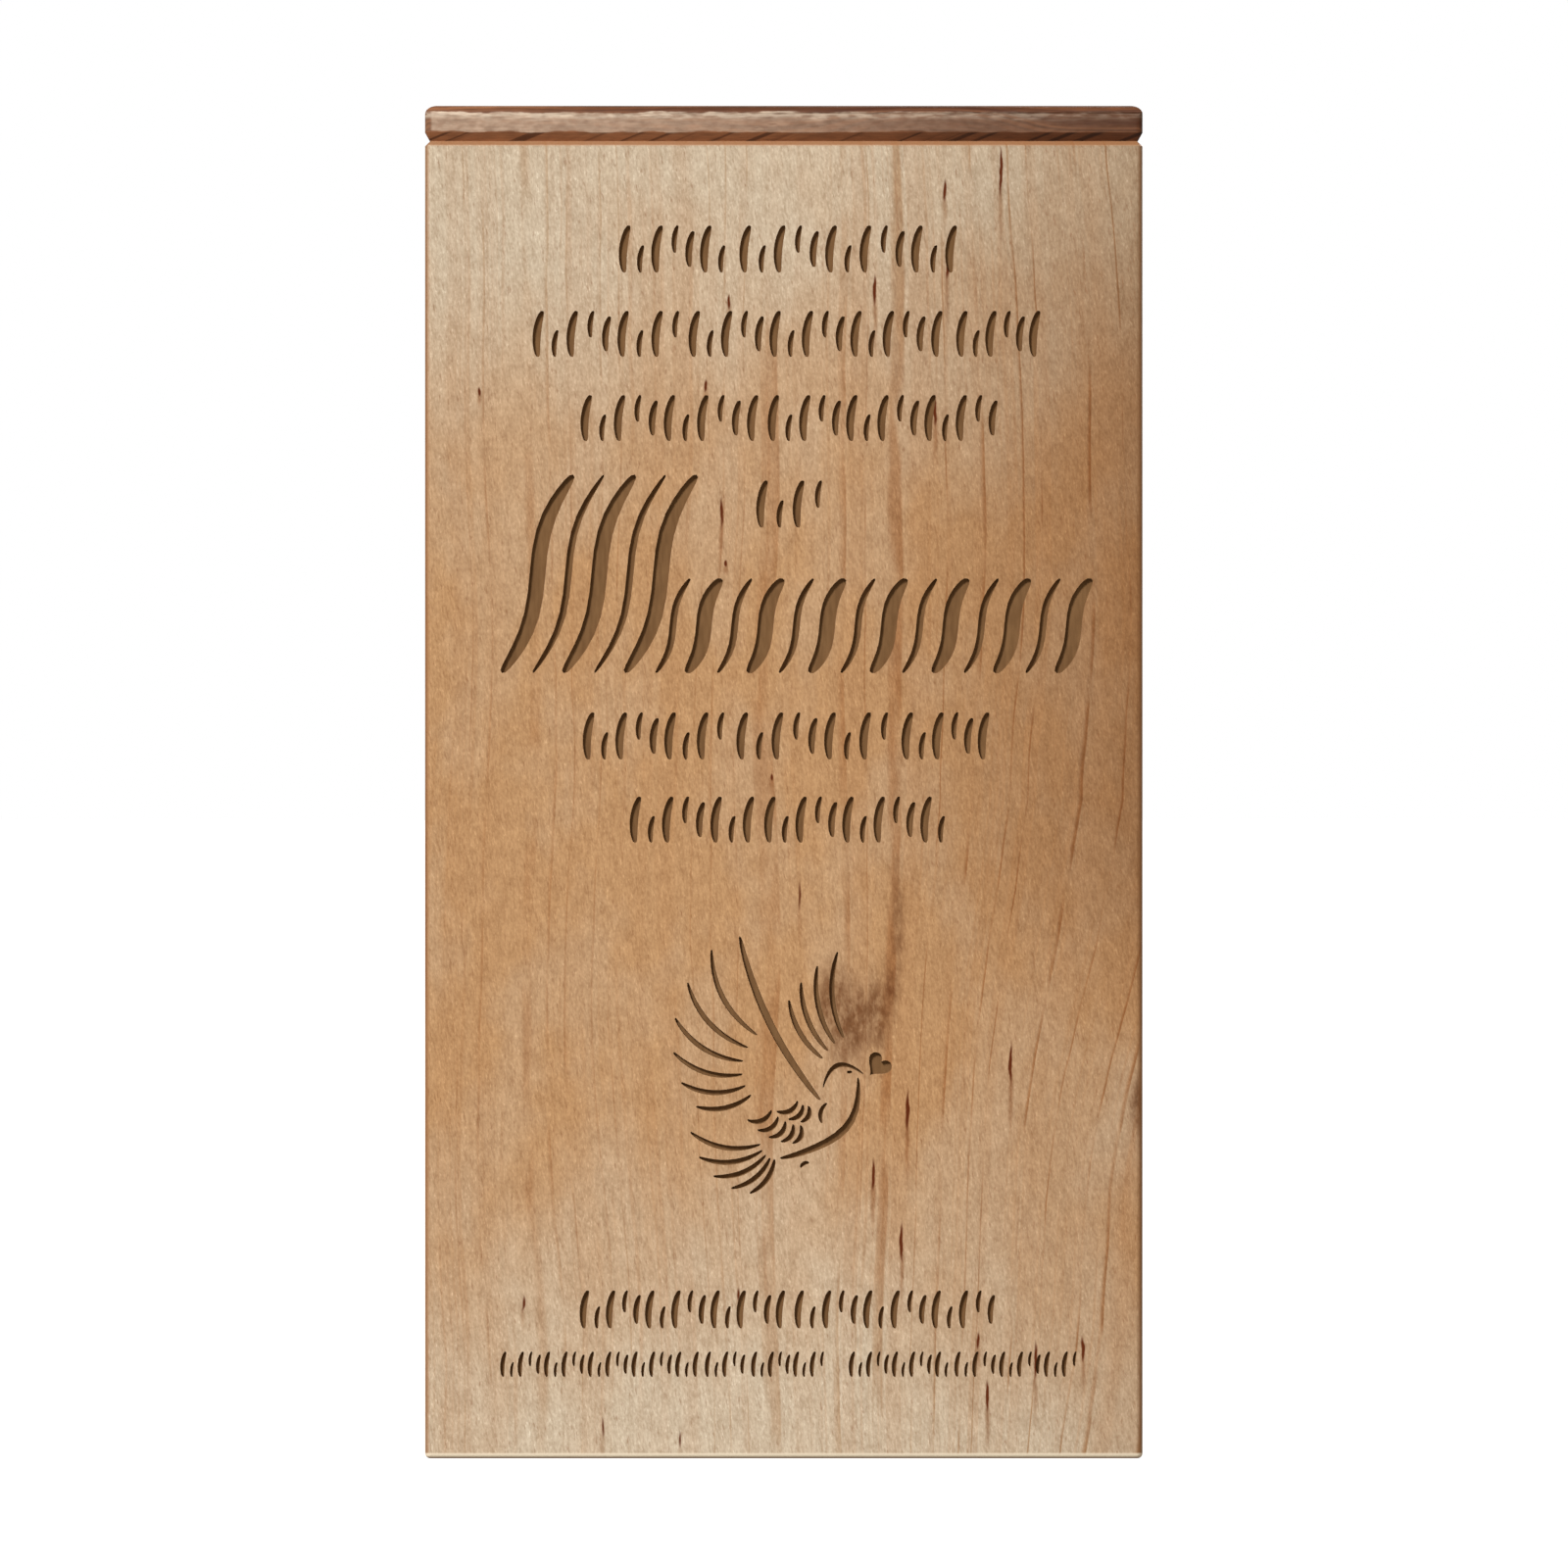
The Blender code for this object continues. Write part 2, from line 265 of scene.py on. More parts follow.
def narrowed(half, is_floor):
    """Half a stroke's width at the floor, or a little wider than drawn above the face."""
    if is_floor:
        return max(half - WALL_SLOPE, half * LEAST_FLOOR)
    return half + min(WALL_SLOPE, half) * MOUTH_RISE / CUT_DEPTH


def press_stroke(bm, start, end, width, bow=0.0, sway=0.0):
    """A stroke from start to end. Bow bends it to its left, and sway bends it both ways."""
    start, end = Vector(start), Vector(end)
    along = (end - start).normalized()
    left = Vector((-along.y, along.x))
    for vert in plug(bm):
        x, y, level = vert.co
        share = (1 + x) / 2
        bend = bow * 4 * share * (1 - share) + sway * math.sin(2 * math.pi * share)
        half = narrowed(width / 2 * abs(y) ** STROKE_TAPER, level > 0)
        settle(vert, start.lerp(end, share) + left * (bend + math.copysign(half, y)), level > 0)


# %% [markdown]
# ## The engraved field
#
# The face of the front board has a field inside its margins, and every row and figure is placed in
# shares of that field, so the layout would follow the box if its size changed. All the cuts go
# into one bmesh, which is carved out of the board at the end in a single go.

# %% The engraved field
SIDE_MARGIN = 0.0115
TOP_MARGIN = 0.0165
FOOT_MARGIN = 0.0155


def field_point(across, up):
    """A point (x, z) of the face from its shares of the engraved field."""
    width = 2 * (HALF_WIDTH - SIDE_MARGIN)
    height = RIM - TOP_MARGIN - FOOT_MARGIN
    return Vector(((across - 0.5) * width, FOOT_MARGIN + up * height))


def cuts_in(bm):
    """How many cuts have been pressed so far."""
    return len(bm.verts) // (2 * PLUG_SIDES)


engraving = bmesh.new()
foot_left, top_right = field_point(0, 0), field_point(1, 1)
print("field:", [f"{size * 1000:.1f} mm" for size in top_right - foot_left])

# %% [markdown]
# ## Rows of strokes in place of writing
#
# A row is a rhythm of plain upright strokes, long and short, thick and thin. It reads as a line of
# engraving from a step away, and it spells nothing.

# %% Rows of strokes
# Each row: foot and top in shares of the field's height, then groups as (from, to) across it
ROWS = (
    (0.959, 1.000, ((0.234, 0.404), (0.435, 0.786))),
    (0.886, 0.926, ((0.090, 0.324), (0.350, 0.762), (0.796, 0.925))),
    (0.813, 0.853, ((0.170, 0.455), (0.482, 0.855))),
    (0.738, 0.779, ((0.463, 0.562),)),
    (0.537, 0.578, ((0.174, 0.399), (0.430, 0.672), (0.705, 0.840))),
    (0.465, 0.505, ((0.252, 0.448), (0.476, 0.770))),
    (0.044, 0.077, ((0.167, 0.500), (0.525, 0.851))),
    (
        0.002,
        0.024,
        ((0.032, 0.357), (0.373, 0.435), (0.450, 0.566), (0.613, 0.775), (0.789, 0.987)),
    ),
)
# In shares of a row's height: the step from stroke to stroke, the lean and the bow of a stroke,
# and the rhythm that repeats, each stroke as (foot, top, width)
ROW_PITCH = 0.35
ROW_LEAN = 0.10
ROW_BOW = 0.07
ROW_RHYTHM = (
    (0.00, 1.00, 0.180),
    (0.00, 0.58, 0.115),
    (0.00, 1.00, 0.180),
    (0.42, 1.00, 0.115),
    (0.12, 0.88, 0.150),
)


def press_row(bm, foot, top, first, last):
    """One group of strokes, spread evenly between its two ends."""
    start, end = field_point(first, foot), field_point(last, foot)
    tall = field_point(first, top).y - start.y
    lean, rise = Vector((ROW_LEAN * tall, 0)), Vector((ROW_LEAN * tall, tall))
    gaps = max(1, round((end.x - start.x - lean.x) / (ROW_PITCH * tall)))
    for number in range(gaps + 1):
        low, high, width = ROW_RHYTHM[number % len(ROW_RHYTHM)]
        base = start.lerp(end - lean, number / gaps)
        bow = ROW_BOW * tall * (high - low)
        press_stroke(bm, base + rise * low, base + rise * high, width * tall, bow)


for foot, top, groups in ROWS:
    for first, last in groups:
        press_row(engraving, foot, top, first, last)
print("strokes in the rows:", cuts_in(engraving))

# %% [markdown]
# ## The flowing line
#
# The widest line of the engraving is a run of leaning strokes, thick and thin by turns like the
# downstrokes and upstrokes of a broad pen. The first ones are taller, as an opening flourish.

# %% The flowing line
FLOW_FOOT = 0.612
FLOW_TOP = 0.694
FLOW_TALL_TOP = 0.784
FLOW_FROM = 0.030
FLOW_TO = 0.955
FLOW_LEAN = 0.36
FLOW_SWAY = 0.045
FLOW_STROKES = 19
FLOW_TALL_STROKES = 5
DOWNSTROKE_WIDTH = 0.0032
UPSTROKE_WIDTH = 0.0014

for number in range(FLOW_STROKES):
    across = FLOW_FROM + (FLOW_TO - FLOW_FROM) * number / (FLOW_STROKES - 1)
    base = field_point(across, FLOW_FOOT)
    top = FLOW_TALL_TOP if number < FLOW_TALL_STROKES else FLOW_TOP
    tall = field_point(across, top).y - base.y
    width = UPSTROKE_WIDTH if number % 2 else DOWNSTROKE_WIDTH
    tip = base + Vector((FLOW_LEAN * tall, tall))
    press_stroke(engraving, base, tip, width, sway=-FLOW_SWAY * tall)
print("strokes with the flowing line:", cuts_in(engraving))

# %% [markdown]
# ## The dove's feathers
#
# The dove is a few fans of feathers and a few single lines, all drawn in shares of the dove's own
# height. A fan swings one feather round a pivot while its length changes, so the two wings, the
# small covering feathers and the tail are five fans.

# %% Fans of feathers
DOVE_CORNER = (0.342, 0.165)
DOVE_HEIGHT = 0.219
FEATHER_WIDTH = 0.021
# Fans: (pivot, first and last angle in degrees, first and last reach, share of its reach where a
# feather starts, number of feathers, bow as a share of a feather's length)
DOVE_FANS = (
    ((0.38, 0.40), (118, 192), (0.62, 0.36), 0.38, 6, 0.13),
    ((0.63, 0.34), (94, 120), (0.60, 0.47), 0.43, 4, 0.10),
    ((0.50, 0.38), (202, 246), (0.29, 0.22), 0.64, 5, 0.22),
    ((0.50, 0.38), (206, 244), (0.17, 0.13), 0.45, 3, 0.22),
    ((0.37, 0.16), (170, 234), (0.37, 0.22), 0.24, 5, 0.13),
)

dove_corner = field_point(*DOVE_CORNER)
dove_tall = field_point(0, DOVE_HEIGHT).y - field_point(0, 0).y


def dove_point(across, up):
    return dove_corner + Vector((across, up)) * dove_tall


def press_fan(bm, pivot, angles, reaches, root, feathers, bow):
    for number in range(feathers):
        share = number / (feathers - 1)
        angle = math.radians(angles[0] + (angles[1] - angles[0]) * share)
        reach = (reaches[0] + (reaches[1] - reaches[0]) * share) * dove_tall
        ray = Vector((math.cos(angle), math.sin(angle))) * reach
        bend = bow * reach * (1 - root)
        hub = dove_point(*pivot)
        press_stroke(bm, hub + ray * root, hub + ray, FEATHER_WIDTH * dove_tall, bend)


for fan in DOVE_FANS:
    press_fan(engraving, *fan)
print("cuts with the feathers:", cuts_in(engraving))

# %% [markdown]
# ## The dove's lines and its heart
#
# The edge of the raised wing, the head, the breast, the eye, the fold of the wing and the feet are
# single bent strokes, and the bird holds a heart. The heart is pressed from a plug too: any outline
# will do that can be written as a rule for the points of a ring.

# %% Lines and the heart
# Single lines: (start, end, width, bow, sway)
DOVE_LINES = (
    ((0.52, 0.35), (0.20, 1.00), 0.029, 0.045, 0.0),
    ((0.53, 0.40), (0.69, 0.455), 0.020, 0.065, 0.0),
    ((0.670, 0.440), (0.36, 0.120), 0.032, 0.100, 0.012),
    ((0.625, 0.462), (0.645, 0.462), 0.012, 0.0, 0.0),
    ((0.545, 0.34), (0.525, 0.26), 0.018, -0.014, 0.0),
    ((0.440, 0.085), (0.475, 0.105), 0.016, 0.006, 0.0),
)
# The heart: (centre, height, turn in degrees)
DOVE_HEART = ((0.750, 0.490), 0.102, -40)


def press_heart(bm, centre, size, turn):
    """A heart, drawn by the usual curve in sines and cosines, leaning by turn."""
    lean = Matrix.Rotation(turn, 2)
    for vert in plug(bm):
        t = math.atan2(vert.co.y, vert.co.x)
        across = -math.sin(t) ** 3
        up = (13 * math.cos(t) - 5 * math.cos(2 * t) - 2 * math.cos(3 * t) - math.cos(4 * t)) / 16
        reach = narrowed(size / 2, vert.co.z > 0)
        settle(vert, centre + lean @ Vector((across, up)) * reach, vert.co.z > 0)


for start, end, width, bow, sway in DOVE_LINES:
    sizes = [share * dove_tall for share in (width, bow, sway)]
    press_stroke(engraving, dove_point(*start), dove_point(*end), *sizes)
centre, size, turn = DOVE_HEART
press_heart(engraving, dove_point(*centre), size * dove_tall, math.radians(turn))
print("cuts in the whole engraving:", cuts_in(engraving))

# %% [markdown]
# ## Finishes as node trees
#
# A finish is a graph of nodes that ends in one Principled shader. A few small functions keep that
# graph readable: each one adds a node, feeds its inputs with sockets or plain values, and hands
# back the socket that the next step needs.

# %% Node helpers
def feed(tree, node, inputs):
    """Links each input to the socket that is given for it, or sets it to a plain value."""
    for key, value in dict(inputs).items():
        if isinstance(value, bpy.types.NodeSocket):
            tree.links.new(value, node.inputs[key])
        else:
            node.inputs[key].default_value = value


def add_node(tree, kind, inputs=(), **settings):
    """Adds a node, sets its options, and then feeds its inputs."""
    made = tree.nodes.new("ShaderNode" + kind)
    for option, value in settings.items():
        setattr(made, option, value)
    feed(tree, made, inputs)
    return made


def start_finish(name):
    """A new material, its tree and its shader."""
    finish = bpy.data.materials.new(name)
    finish.use_nodes = True
    return finish, finish.node_tree, finish.node_tree.nodes["Principled BSDF"]


# %% [markdown]
# ## Sums, soft steps and mixed colours
#
# A Math node takes two numbers, so a longer sum or product is a chain of nodes. An ease turns any
# number into a share that goes softly from one value to another, and a share says how much of a
# second colour goes over the first. The eases below are named tuples of numbers: where the ease
# starts and ends, and then what it gives there, if that isn't 0 and 1.

# %% Sums, eases and blends
def calculate(tree, operation, *values):
    return add_node(tree, "Math", enumerate(values), operation=operation).outputs[0]


def product(tree, first, *others):
    for other in others:
        first = calculate(tree, "MULTIPLY", first, other)
    return first


def total(tree, first, *others):
    for other in others:
        first = calculate(tree, "ADD", first, other)
    return first


def ease(tree, value, start, end, first=0.0, last=1.0):
    """Goes smoothly from first to last while value goes from start to end."""
    inputs = {"Value": value, "From Min": start, "From Max": end, "To Min": first, "To Max": last}
    return add_node(tree, "MapRange", inputs, interpolation_type="SMOOTHSTEP").outputs["Result"]


def blend(tree, share, first, second, how="MIX"):
    """Goes from the first colour to the second as share goes from 0 to 1."""
    inputs = {0: share, 6: first, 7: second}
    return add_node(tree, "Mix", inputs, data_type="RGBA", blend_type=how).outputs[2]


def tint(tree, share, colour, factors):
    """Multiplies a colour, so that a mark keeps its strength on pale and on dark wood."""
    return blend(tree, share, colour, factors, "MULTIPLY")


# %% [markdown]
# ## Noise for wood
#
# A noise texture makes round spots, but the marks of wood are long and thin. So its coordinates
# are divided by the size that a spot should have in each direction, which stretches the spots
# along the grain. The same noise along a single number makes layers. Colours are written as the
# eye reads them, from 0 to 255, and turned into the shader's linear numbers.

# %% Noise and colour
def speckle(tree, where, sizes, seed, detail=2.0, roughness=0.5):
    """Noise whose spots measure about sizes, in metres, and whose value stays near 0.5."""
    scales = [1 / size for size in sizes]
    inputs = {0: where, 1: scales, 2: (seed, seed * 1.7, seed * 2.3)}
    stretched = add_node(tree, "VectorMath", inputs, operation="MULTIPLY_ADD").outputs[0]
    inputs = {"Vector": stretched, "Scale": 1.0, "Detail": detail, "Roughness": roughness}
    return add_node(tree, "TexNoise", inputs).outputs["Fac"]


def layers(tree, position, size, seed, detail=2.0):
    """Noise along a single number, for layers of wood of about that size."""
    inputs = {0: position, 1: 1 / size, 2: seed}
    scaled = add_node(tree, "Math", inputs, operation="MULTIPLY_ADD").outputs[0]
    inputs = {"W": scaled, "Scale": 1.0, "Detail": detail}
    return add_node(tree, "TexNoise", inputs, noise_dimensions="1D").outputs["Fac"]


def linear(red, green, blue):
    """A colour given as the eye reads it from 0 to 255, as the shader wants it."""
    parts = [part / 255 for part in (red, green, blue)]
    return (*[p / 12.92 if p <= 0.04045 else ((p + 0.055) / 1.055) ** 2.4 for p in parts], 1.0)


# %% [markdown]
# ## Where a point is in its board
#
# Every pattern here is solid: it reads Object coordinates, so it runs right through the wood, and
# the ends and the groove of a board show the same pattern as its face. A Mapping node turns the
# coordinates so that each board's own face is at the front, and for the board that lies flat it
# lays the grain down.

# %% A point in its board
Place = namedtuple("Place", "point across inward up")

UPRIGHT = (0, 0, 0)


def place_in_board(tree, rotation=UPRIGHT, lift=0.0):
    """A point of the wood after turning, whole and as its three parts."""
    solid = add_node(tree, "TexCoord").outputs["Object"]
    inputs = {"Vector": solid, "Rotation": rotation, "Location": (0, 0, lift)}
    turned = add_node(tree, "Mapping", inputs).outputs[0]
    return Place(turned, *add_node(tree, "SeparateXYZ", {0: turned}).outputs)


# %% [markdown]
# ## Marks in maple
#
# Maple is pale and fine grained, and it is marked by short red brown mineral streaks. On the front
# board each streak has its own place. On the other boards a seeded random draw places them, so
# they differ from board to board but come out the same on every run.

# %% Streaks
# (across, low end, high end, faintness), in metres from the middle of the board and from its foot
FRONT_STREAKS = (
    (0.0423, 0.2459, 0.2562, 0.1),
    (0.0314, 0.2449, 0.2497, 0.2),
    (0.0319, 0.2294, 0.2374, 0.2),
    (0.0178, 0.2246, 0.2313, 0.2),
    (-0.0107, 0.2239, 0.2273, 0.3),
    (-0.0153, 0.2078, 0.2107, 0.3),
    (-0.0594, 0.2071, 0.2090, 0.1),
    (0.0295, 0.2009, 0.2078, 0.2),
    (-0.0122, 0.1809, 0.1881, 0.4),
    (-0.0112, 0.1738, 0.1754, 0.3),
    (-0.0023, 0.1321, 0.1337, 0.3),
    (0.0031, 0.1060, 0.1136, 0.6),
    (0.0442, 0.0727, 0.0815, 0.1),
    (0.0241, 0.0635, 0.0723, 0.1),
    (0.0174, 0.0519, 0.0586, 0.0),
    (0.0230, 0.0381, 0.0463, 0.0),
    (-0.0508, 0.0284, 0.0322, 0.5),
    (-0.0088, 0.0303, 0.0337, 0.5),
    (0.0379, 0.0211, 0.0249, 0.3),
    (0.0583, 0.0186, 0.0240, 0.1),
    (0.0490, 0.0150, 0.0234, 0.3),
    (0.0398, 0.0089, 0.0156, 0.1),
    (-0.0353, 0.0035, 0.0089, 0.6),
    (-0.0204, 0.0016, 0.0060, 0.6),
)


def drawn_streaks(seed, number):
    """Streaks placed by a seeded draw, for the boards that carry no engraving."""
    draw = random.Random(seed)
    streaks = []
    for _ in range(number):
        across = draw.uniform(-0.9, 0.9) * HALF_WIDTH
        low = draw.uniform(0.02, 0.92) * RIM
        streaks.append((across, low, low + draw.uniform(0.002, 0.010), draw.uniform(0.0, 0.6)))
    return streaks


print("streaks on the front board:", len(FRONT_STREAKS))

# %% [markdown]
# ## A knot and two pale places
#
# The grain of the front board once closed over a knot, beside the dove, and left a dark smudge in
# the shape of a V. It is drawn as a handful of soft oval spots, and so are a brown patch at the
# right edge and two places that are paler than the rest of the board at their height.

# %% Spots
# (across, up, half width, half height, faintness), in metres
KNOT_SPOTS = (
    (0.0208, 0.0925, 0.0014, 0.0034, 0.6),
    (0.0182, 0.0868, 0.0019, 0.0048, 0.0),
    (0.0138, 0.0856, 0.0027, 0.0052, 0.0),
    (0.0096, 0.0895, 0.0020, 0.0050, 0.0),
    (0.0114, 0.0832, 0.0018, 0.0044, 0.0),
    (0.0206, 0.0890, 0.0011, 0.0042, 1.0),
    (0.0222, 0.1030, 0.0009, 0.0100, 1.0),
    (0.0697, 0.0690, 0.0014, 0.0042, 0.1),
)
PALE_SPOTS = (
    (0.0600, 0.0645, 0.0210, 0.0210, 0.0),
    (-0.0560, 0.2450, 0.0130, 0.0300, 0.0),
)

# %% [markdown]
# ## The distance to the nearest mark
#
# All the marks of one kind share one number: how far a point is from the nearest of them, measured
# in that mark's own width and height. Inside a mark the number is small, and it grows outwards, so
# one ease turns it into a soft edge. A faint mark is one that the number never reaches 0 in.
#
# A streak is used twice: as a thin dark core, and wider and drawn out downwards as a weaker tail.

# %% The nearest mark
STREAK_HALF_WIDTH = 0.00036


def nearest(tree, where, spots):
    """The least distance to any spot, each as (across, up, half width, half height, faintness)."""
    least = None
    for across, up, half_width, half_height, faintness in spots:
        scales = (1 / half_width, 0, 1 / half_height)
        shift = (-across / half_width, faintness, -up / half_height)
        inputs = {0: where, 1: scales, 2: shift}
        offset = add_node(tree, "VectorMath", inputs, operation="MULTIPLY_ADD").outputs[0]
        distance = add_node(tree, "VectorMath", {0: offset}, operation="LENGTH").outputs["Value"]
        least = distance if least is None else calculate(tree, "MINIMUM", least, distance)
    return least


def streak_spots(streaks, widen=1.0, tail=0.0):
    """One spot for each streak, wider and drawn out downwards by a share of its length."""
    spots = []
    for across, low, high, faintness in streaks:
        half_width = STREAK_HALF_WIDTH * widen
        half_height = (high - low) / 2 * (1 + tail)
        spots.append((across, high - half_height, half_width, half_height, faintness))
    return spots


# %% [markdown]
# ## The tone of a board
#
# The maple could be one stretched noise, but a real board shows several things at once, each at
# its own scale. So the finish is built up from the large to the small, one function for each.
#
# The largest is the tone of the whole board. It is warm, with clouds a centimetre or two across,
# and a painted sheen makes it pale at both ends. It deepens to the right, though less near the
# ends, partly in its own tone and partly as painted shade. The sheen at the ends doesn't stop
# level:
# the upper one reaches lower at the left, and the lower one reaches less far up towards the sides.

# %% Tone
# The pale colour serves the clouds and the pale spots, and the painted sheen at the top and the
# foot.
PALE_TONE_AND_SHEEN = linear(211, 193, 169)
WARM = linear(194, 151, 108)
# Darker towards the right: partly the wood's own deeper tone, partly painted shade.
DEEP_TONE_AND_SHADE_TINT = (0.58, 0.49, 0.41, 1.0)
CLOUD_SIZE = (0.016, 0.016, 0.030)
TILT = 0.12
SAG = 4.0
# Where the painted sheen at the top and at the foot fades out.
SHEEN_AT_TOP = (0.165, 0.272)
SHEEN_AT_FOOT = (0.088, -0.004)
CLOUDY = (0.35, 0.65, -0.08, 0.18)
PALER_IN_SPOTS = (1.4, 0.1, 0.0, 0.34)
DEEP_AND_SHADED_AT_RIGHT = (0.000, 0.085)
DEEP_AND_SHADED_AT_EDGE = (0.061, 0.071, 0.0, 0.18)
LESS_AT_FOOT = (0.080, 0.125, 0.42, 1.0)
LESS_AT_TOP = (0.225, 0.255, 1.0, 0.72)


def board_tone(tree, place, seed, patches):
    # Painted sheen: paler towards the top and towards the foot.
    tilt = product(tree, place.across, TILT)
    sheen_near_top = ease(tree, calculate(tree, "SUBTRACT", place.up, tilt), *SHEEN_AT_TOP)
    sag = product(tree, place.across, SAG, place.across)
    raised = total(tree, place.up, sag, calculate(tree, "MAXIMUM", tilt, 0.0))
    sheen_near_foot = ease(tree, raised, *SHEEN_AT_FOOT)
    cloud = speckle(tree, place.point, CLOUD_SIZE, seed + 1, detail=3)
    paleness_and_sheen = total(tree, sheen_near_top, sheen_near_foot, ease(tree, cloud, *CLOUDY))
    if patches:
        # Paler in a few given spots.
        paler_in_spots = ease(tree, nearest(tree, place.point, patches), *PALER_IN_SPOTS)
        paleness_and_sheen = total(tree, paleness_and_sheen, paler_in_spots)

    # Partly painted shade: darker towards the right and at the right edge, over the wood's deeper
    # tone.
    right = ease(tree, place.across, *DEEP_AND_SHADED_AT_RIGHT)
    right_edge = ease(tree, place.across, *DEEP_AND_SHADED_AT_EDGE)
    above_foot = ease(tree, place.up, *LESS_AT_FOOT)
    below_top = ease(tree, place.up, *LESS_AT_TOP)
    deep_and_shaded = product(tree, total(tree, right, right_edge), above_foot, below_top)
    return tint(tree, deep_and_shaded, blend(tree, paleness_and_sheen, WARM, PALE_TONE_AND_SHEEN), DEEP_TONE_AND_SHADE_TINT)


# %% [markdown]
# ## Growth layers
#
# The layers of a tree's growth run up the board as bands. All of them follow one number, which
# starts as the distance across the board, wanders slowly up it, ripples, and leans in the lower
# right. Slow noise along that number gives broad bands, and quick noise gives fine ones.

# %% The layers' number
WANDER = 0.014
WANDER_SIZE = (0.060, 0.060, 0.110)
RIPPLE = 0.0008
RIPPLE_SIZE = (0.005, 0.005, 0.016)
LEANING = (0.010, 0.055, 0.0, -0.15)
INTO_THE_BOARD = 0.35


def layer_number(tree, place, seed):
    """The number that the layers follow, in metres across the board."""
    wander = speckle(tree, place.point, WANDER_SIZE, seed + 2, detail=1)
    ripple = speckle(tree, place.point, RIPPLE_SIZE, seed + 13, detail=1)
    bend = calculate(tree, "MULTIPLY_ADD", wander, WANDER, product(tree, ripple, RIPPLE))
    below = calculate(tree, "MINIMUM", calculate(tree, "SUBTRACT", place.up, RIM / 2), 0.0)
    lean = product(tree, ease(tree, place.across, *LEANING), below)
    number = total(tree, place.across, bend, lean)
    return calculate(tree, "MULTIPLY_ADD", place.inward, INTO_THE_BOARD, number)


# %% [markdown]
# ## Bands and yearly lines
#
# The broad bands go over the whole board, and the fine ones come and go in patches. On top of them
# each year's layer ends in a thin reddish line. For that the number is cut into steps, which a
# noise makes uneven. The line comes in softly near the end of a step and stops sharply there.

# %% Growth layers
LAYER = linear(176, 124, 78)
LAYER_LINE = (0.62, 0.39, 0.20, 1.0)
BROAD_LAYER = 0.0060
BROAD_SHOWS = (0.42, 0.74, 0.0, 0.18)
FINE_LAYER = 0.0011
FINE_SHOWS = (0.46, 0.72, 0.0, 0.24)
PATCH_SIZE = (0.010, 0.010, 0.040)
PATCHY = (0.38, 0.62)
YEARLY_GROWTH = 0.0072
UNEVEN_YEARS = 2.4
UNEVEN_OVER = 0.014
LINE_RISES = (0.86, 0.965)
LINE_STOPS = (0.995, 0.968)
BREAK_SIZE = (0.004, 0.004, 0.022)
BROKEN = (0.36, 0.60)
STRONGER_AT_RIGHT = (-0.02, 0.055, 0.42, 0.80)


def growth_layers(tree, place, colour, seed):
    number = layer_number(tree, place, seed)
    broad = ease(tree, layers(tree, number, BROAD_LAYER, seed + 3), *BROAD_SHOWS)
    fine = ease(tree, layers(tree, number, FINE_LAYER, seed + 4), *FINE_SHOWS)
    patchy = ease(tree, speckle(tree, place.point, PATCH_SIZE, seed + 5), *PATCHY)
    colour = blend(tree, broad, colour, LAYER)
    colour = blend(tree, product(tree, fine, patchy), colour, LAYER)

    uneven = layers(tree, number, UNEVEN_OVER, seed + 6, detail=1)
    uneven = product(tree, uneven, UNEVEN_YEARS)
    years = calculate(tree, "MULTIPLY_ADD", number, 1 / YEARLY_GROWTH, uneven)
    phase = calculate(tree, "FRACT", years)
    line = product(tree, ease(tree, phase, *LINE_RISES), ease(tree, phase, *LINE_STOPS))
    broken = ease(tree, speckle(tree, place.point, BREAK_SIZE, seed + 7), *BROKEN)
    strength = ease(tree, place.across, *STRONGER_AT_RIGHT)
    return tint(tree, product(tree, line, broken, strength), colour, LAYER_LINE)


# %% [markdown]
# ## Fibres, flecks and dashes
#
# Close up, maple is granular: fibres and a mottle under a millimetre wide, and a drift of a few
# millimetres, make it lighter and darker, and over them lie pale flecks and short dark dashes. All
# of them lean a little, as on a board that wasn't sawn quite along the trunk. The fibres and the
# mottle are handed back as well, because the surface's roughness and bumps follow them.

# %% Fine grain
SHADED = (0.71, 0.65, 0.59, 1.0)
LIT = (1.22, 1.26, 1.29, 1.0)
FLECK = (1.30, 1.38, 1.46, 1.0)
DASH = linear(140, 92, 56)
GRAIN_LEAN = 0.14
FIBRE_SIZE = (0.00040, 0.00040, 0.0022)
MOTTLE_SIZE = (0.00048, 0.00048, 0.0009)
DRIFT_SIZE = (0.0021, 0.0021, 0.0042)
FLECK_SIZE = (0.00030, 0.00030, 0.0009)
DASH_SIZE = (0.00034, 0.00034, 0.0019)
FIBRE_SHADE = (0.25, 0.75, -0.04, 0.24)
MOTTLE_SHADE = (0.25, 0.75, 0.0, 0.54)
DRIFT_SHADE = (0.25, 0.75, -0.01, 0.27)
FLECKS_SHOW = (0.57, 0.75, 0.0, 0.75)
DASHES_SHOW = (0.60, 0.77, 0.0, 0.5)


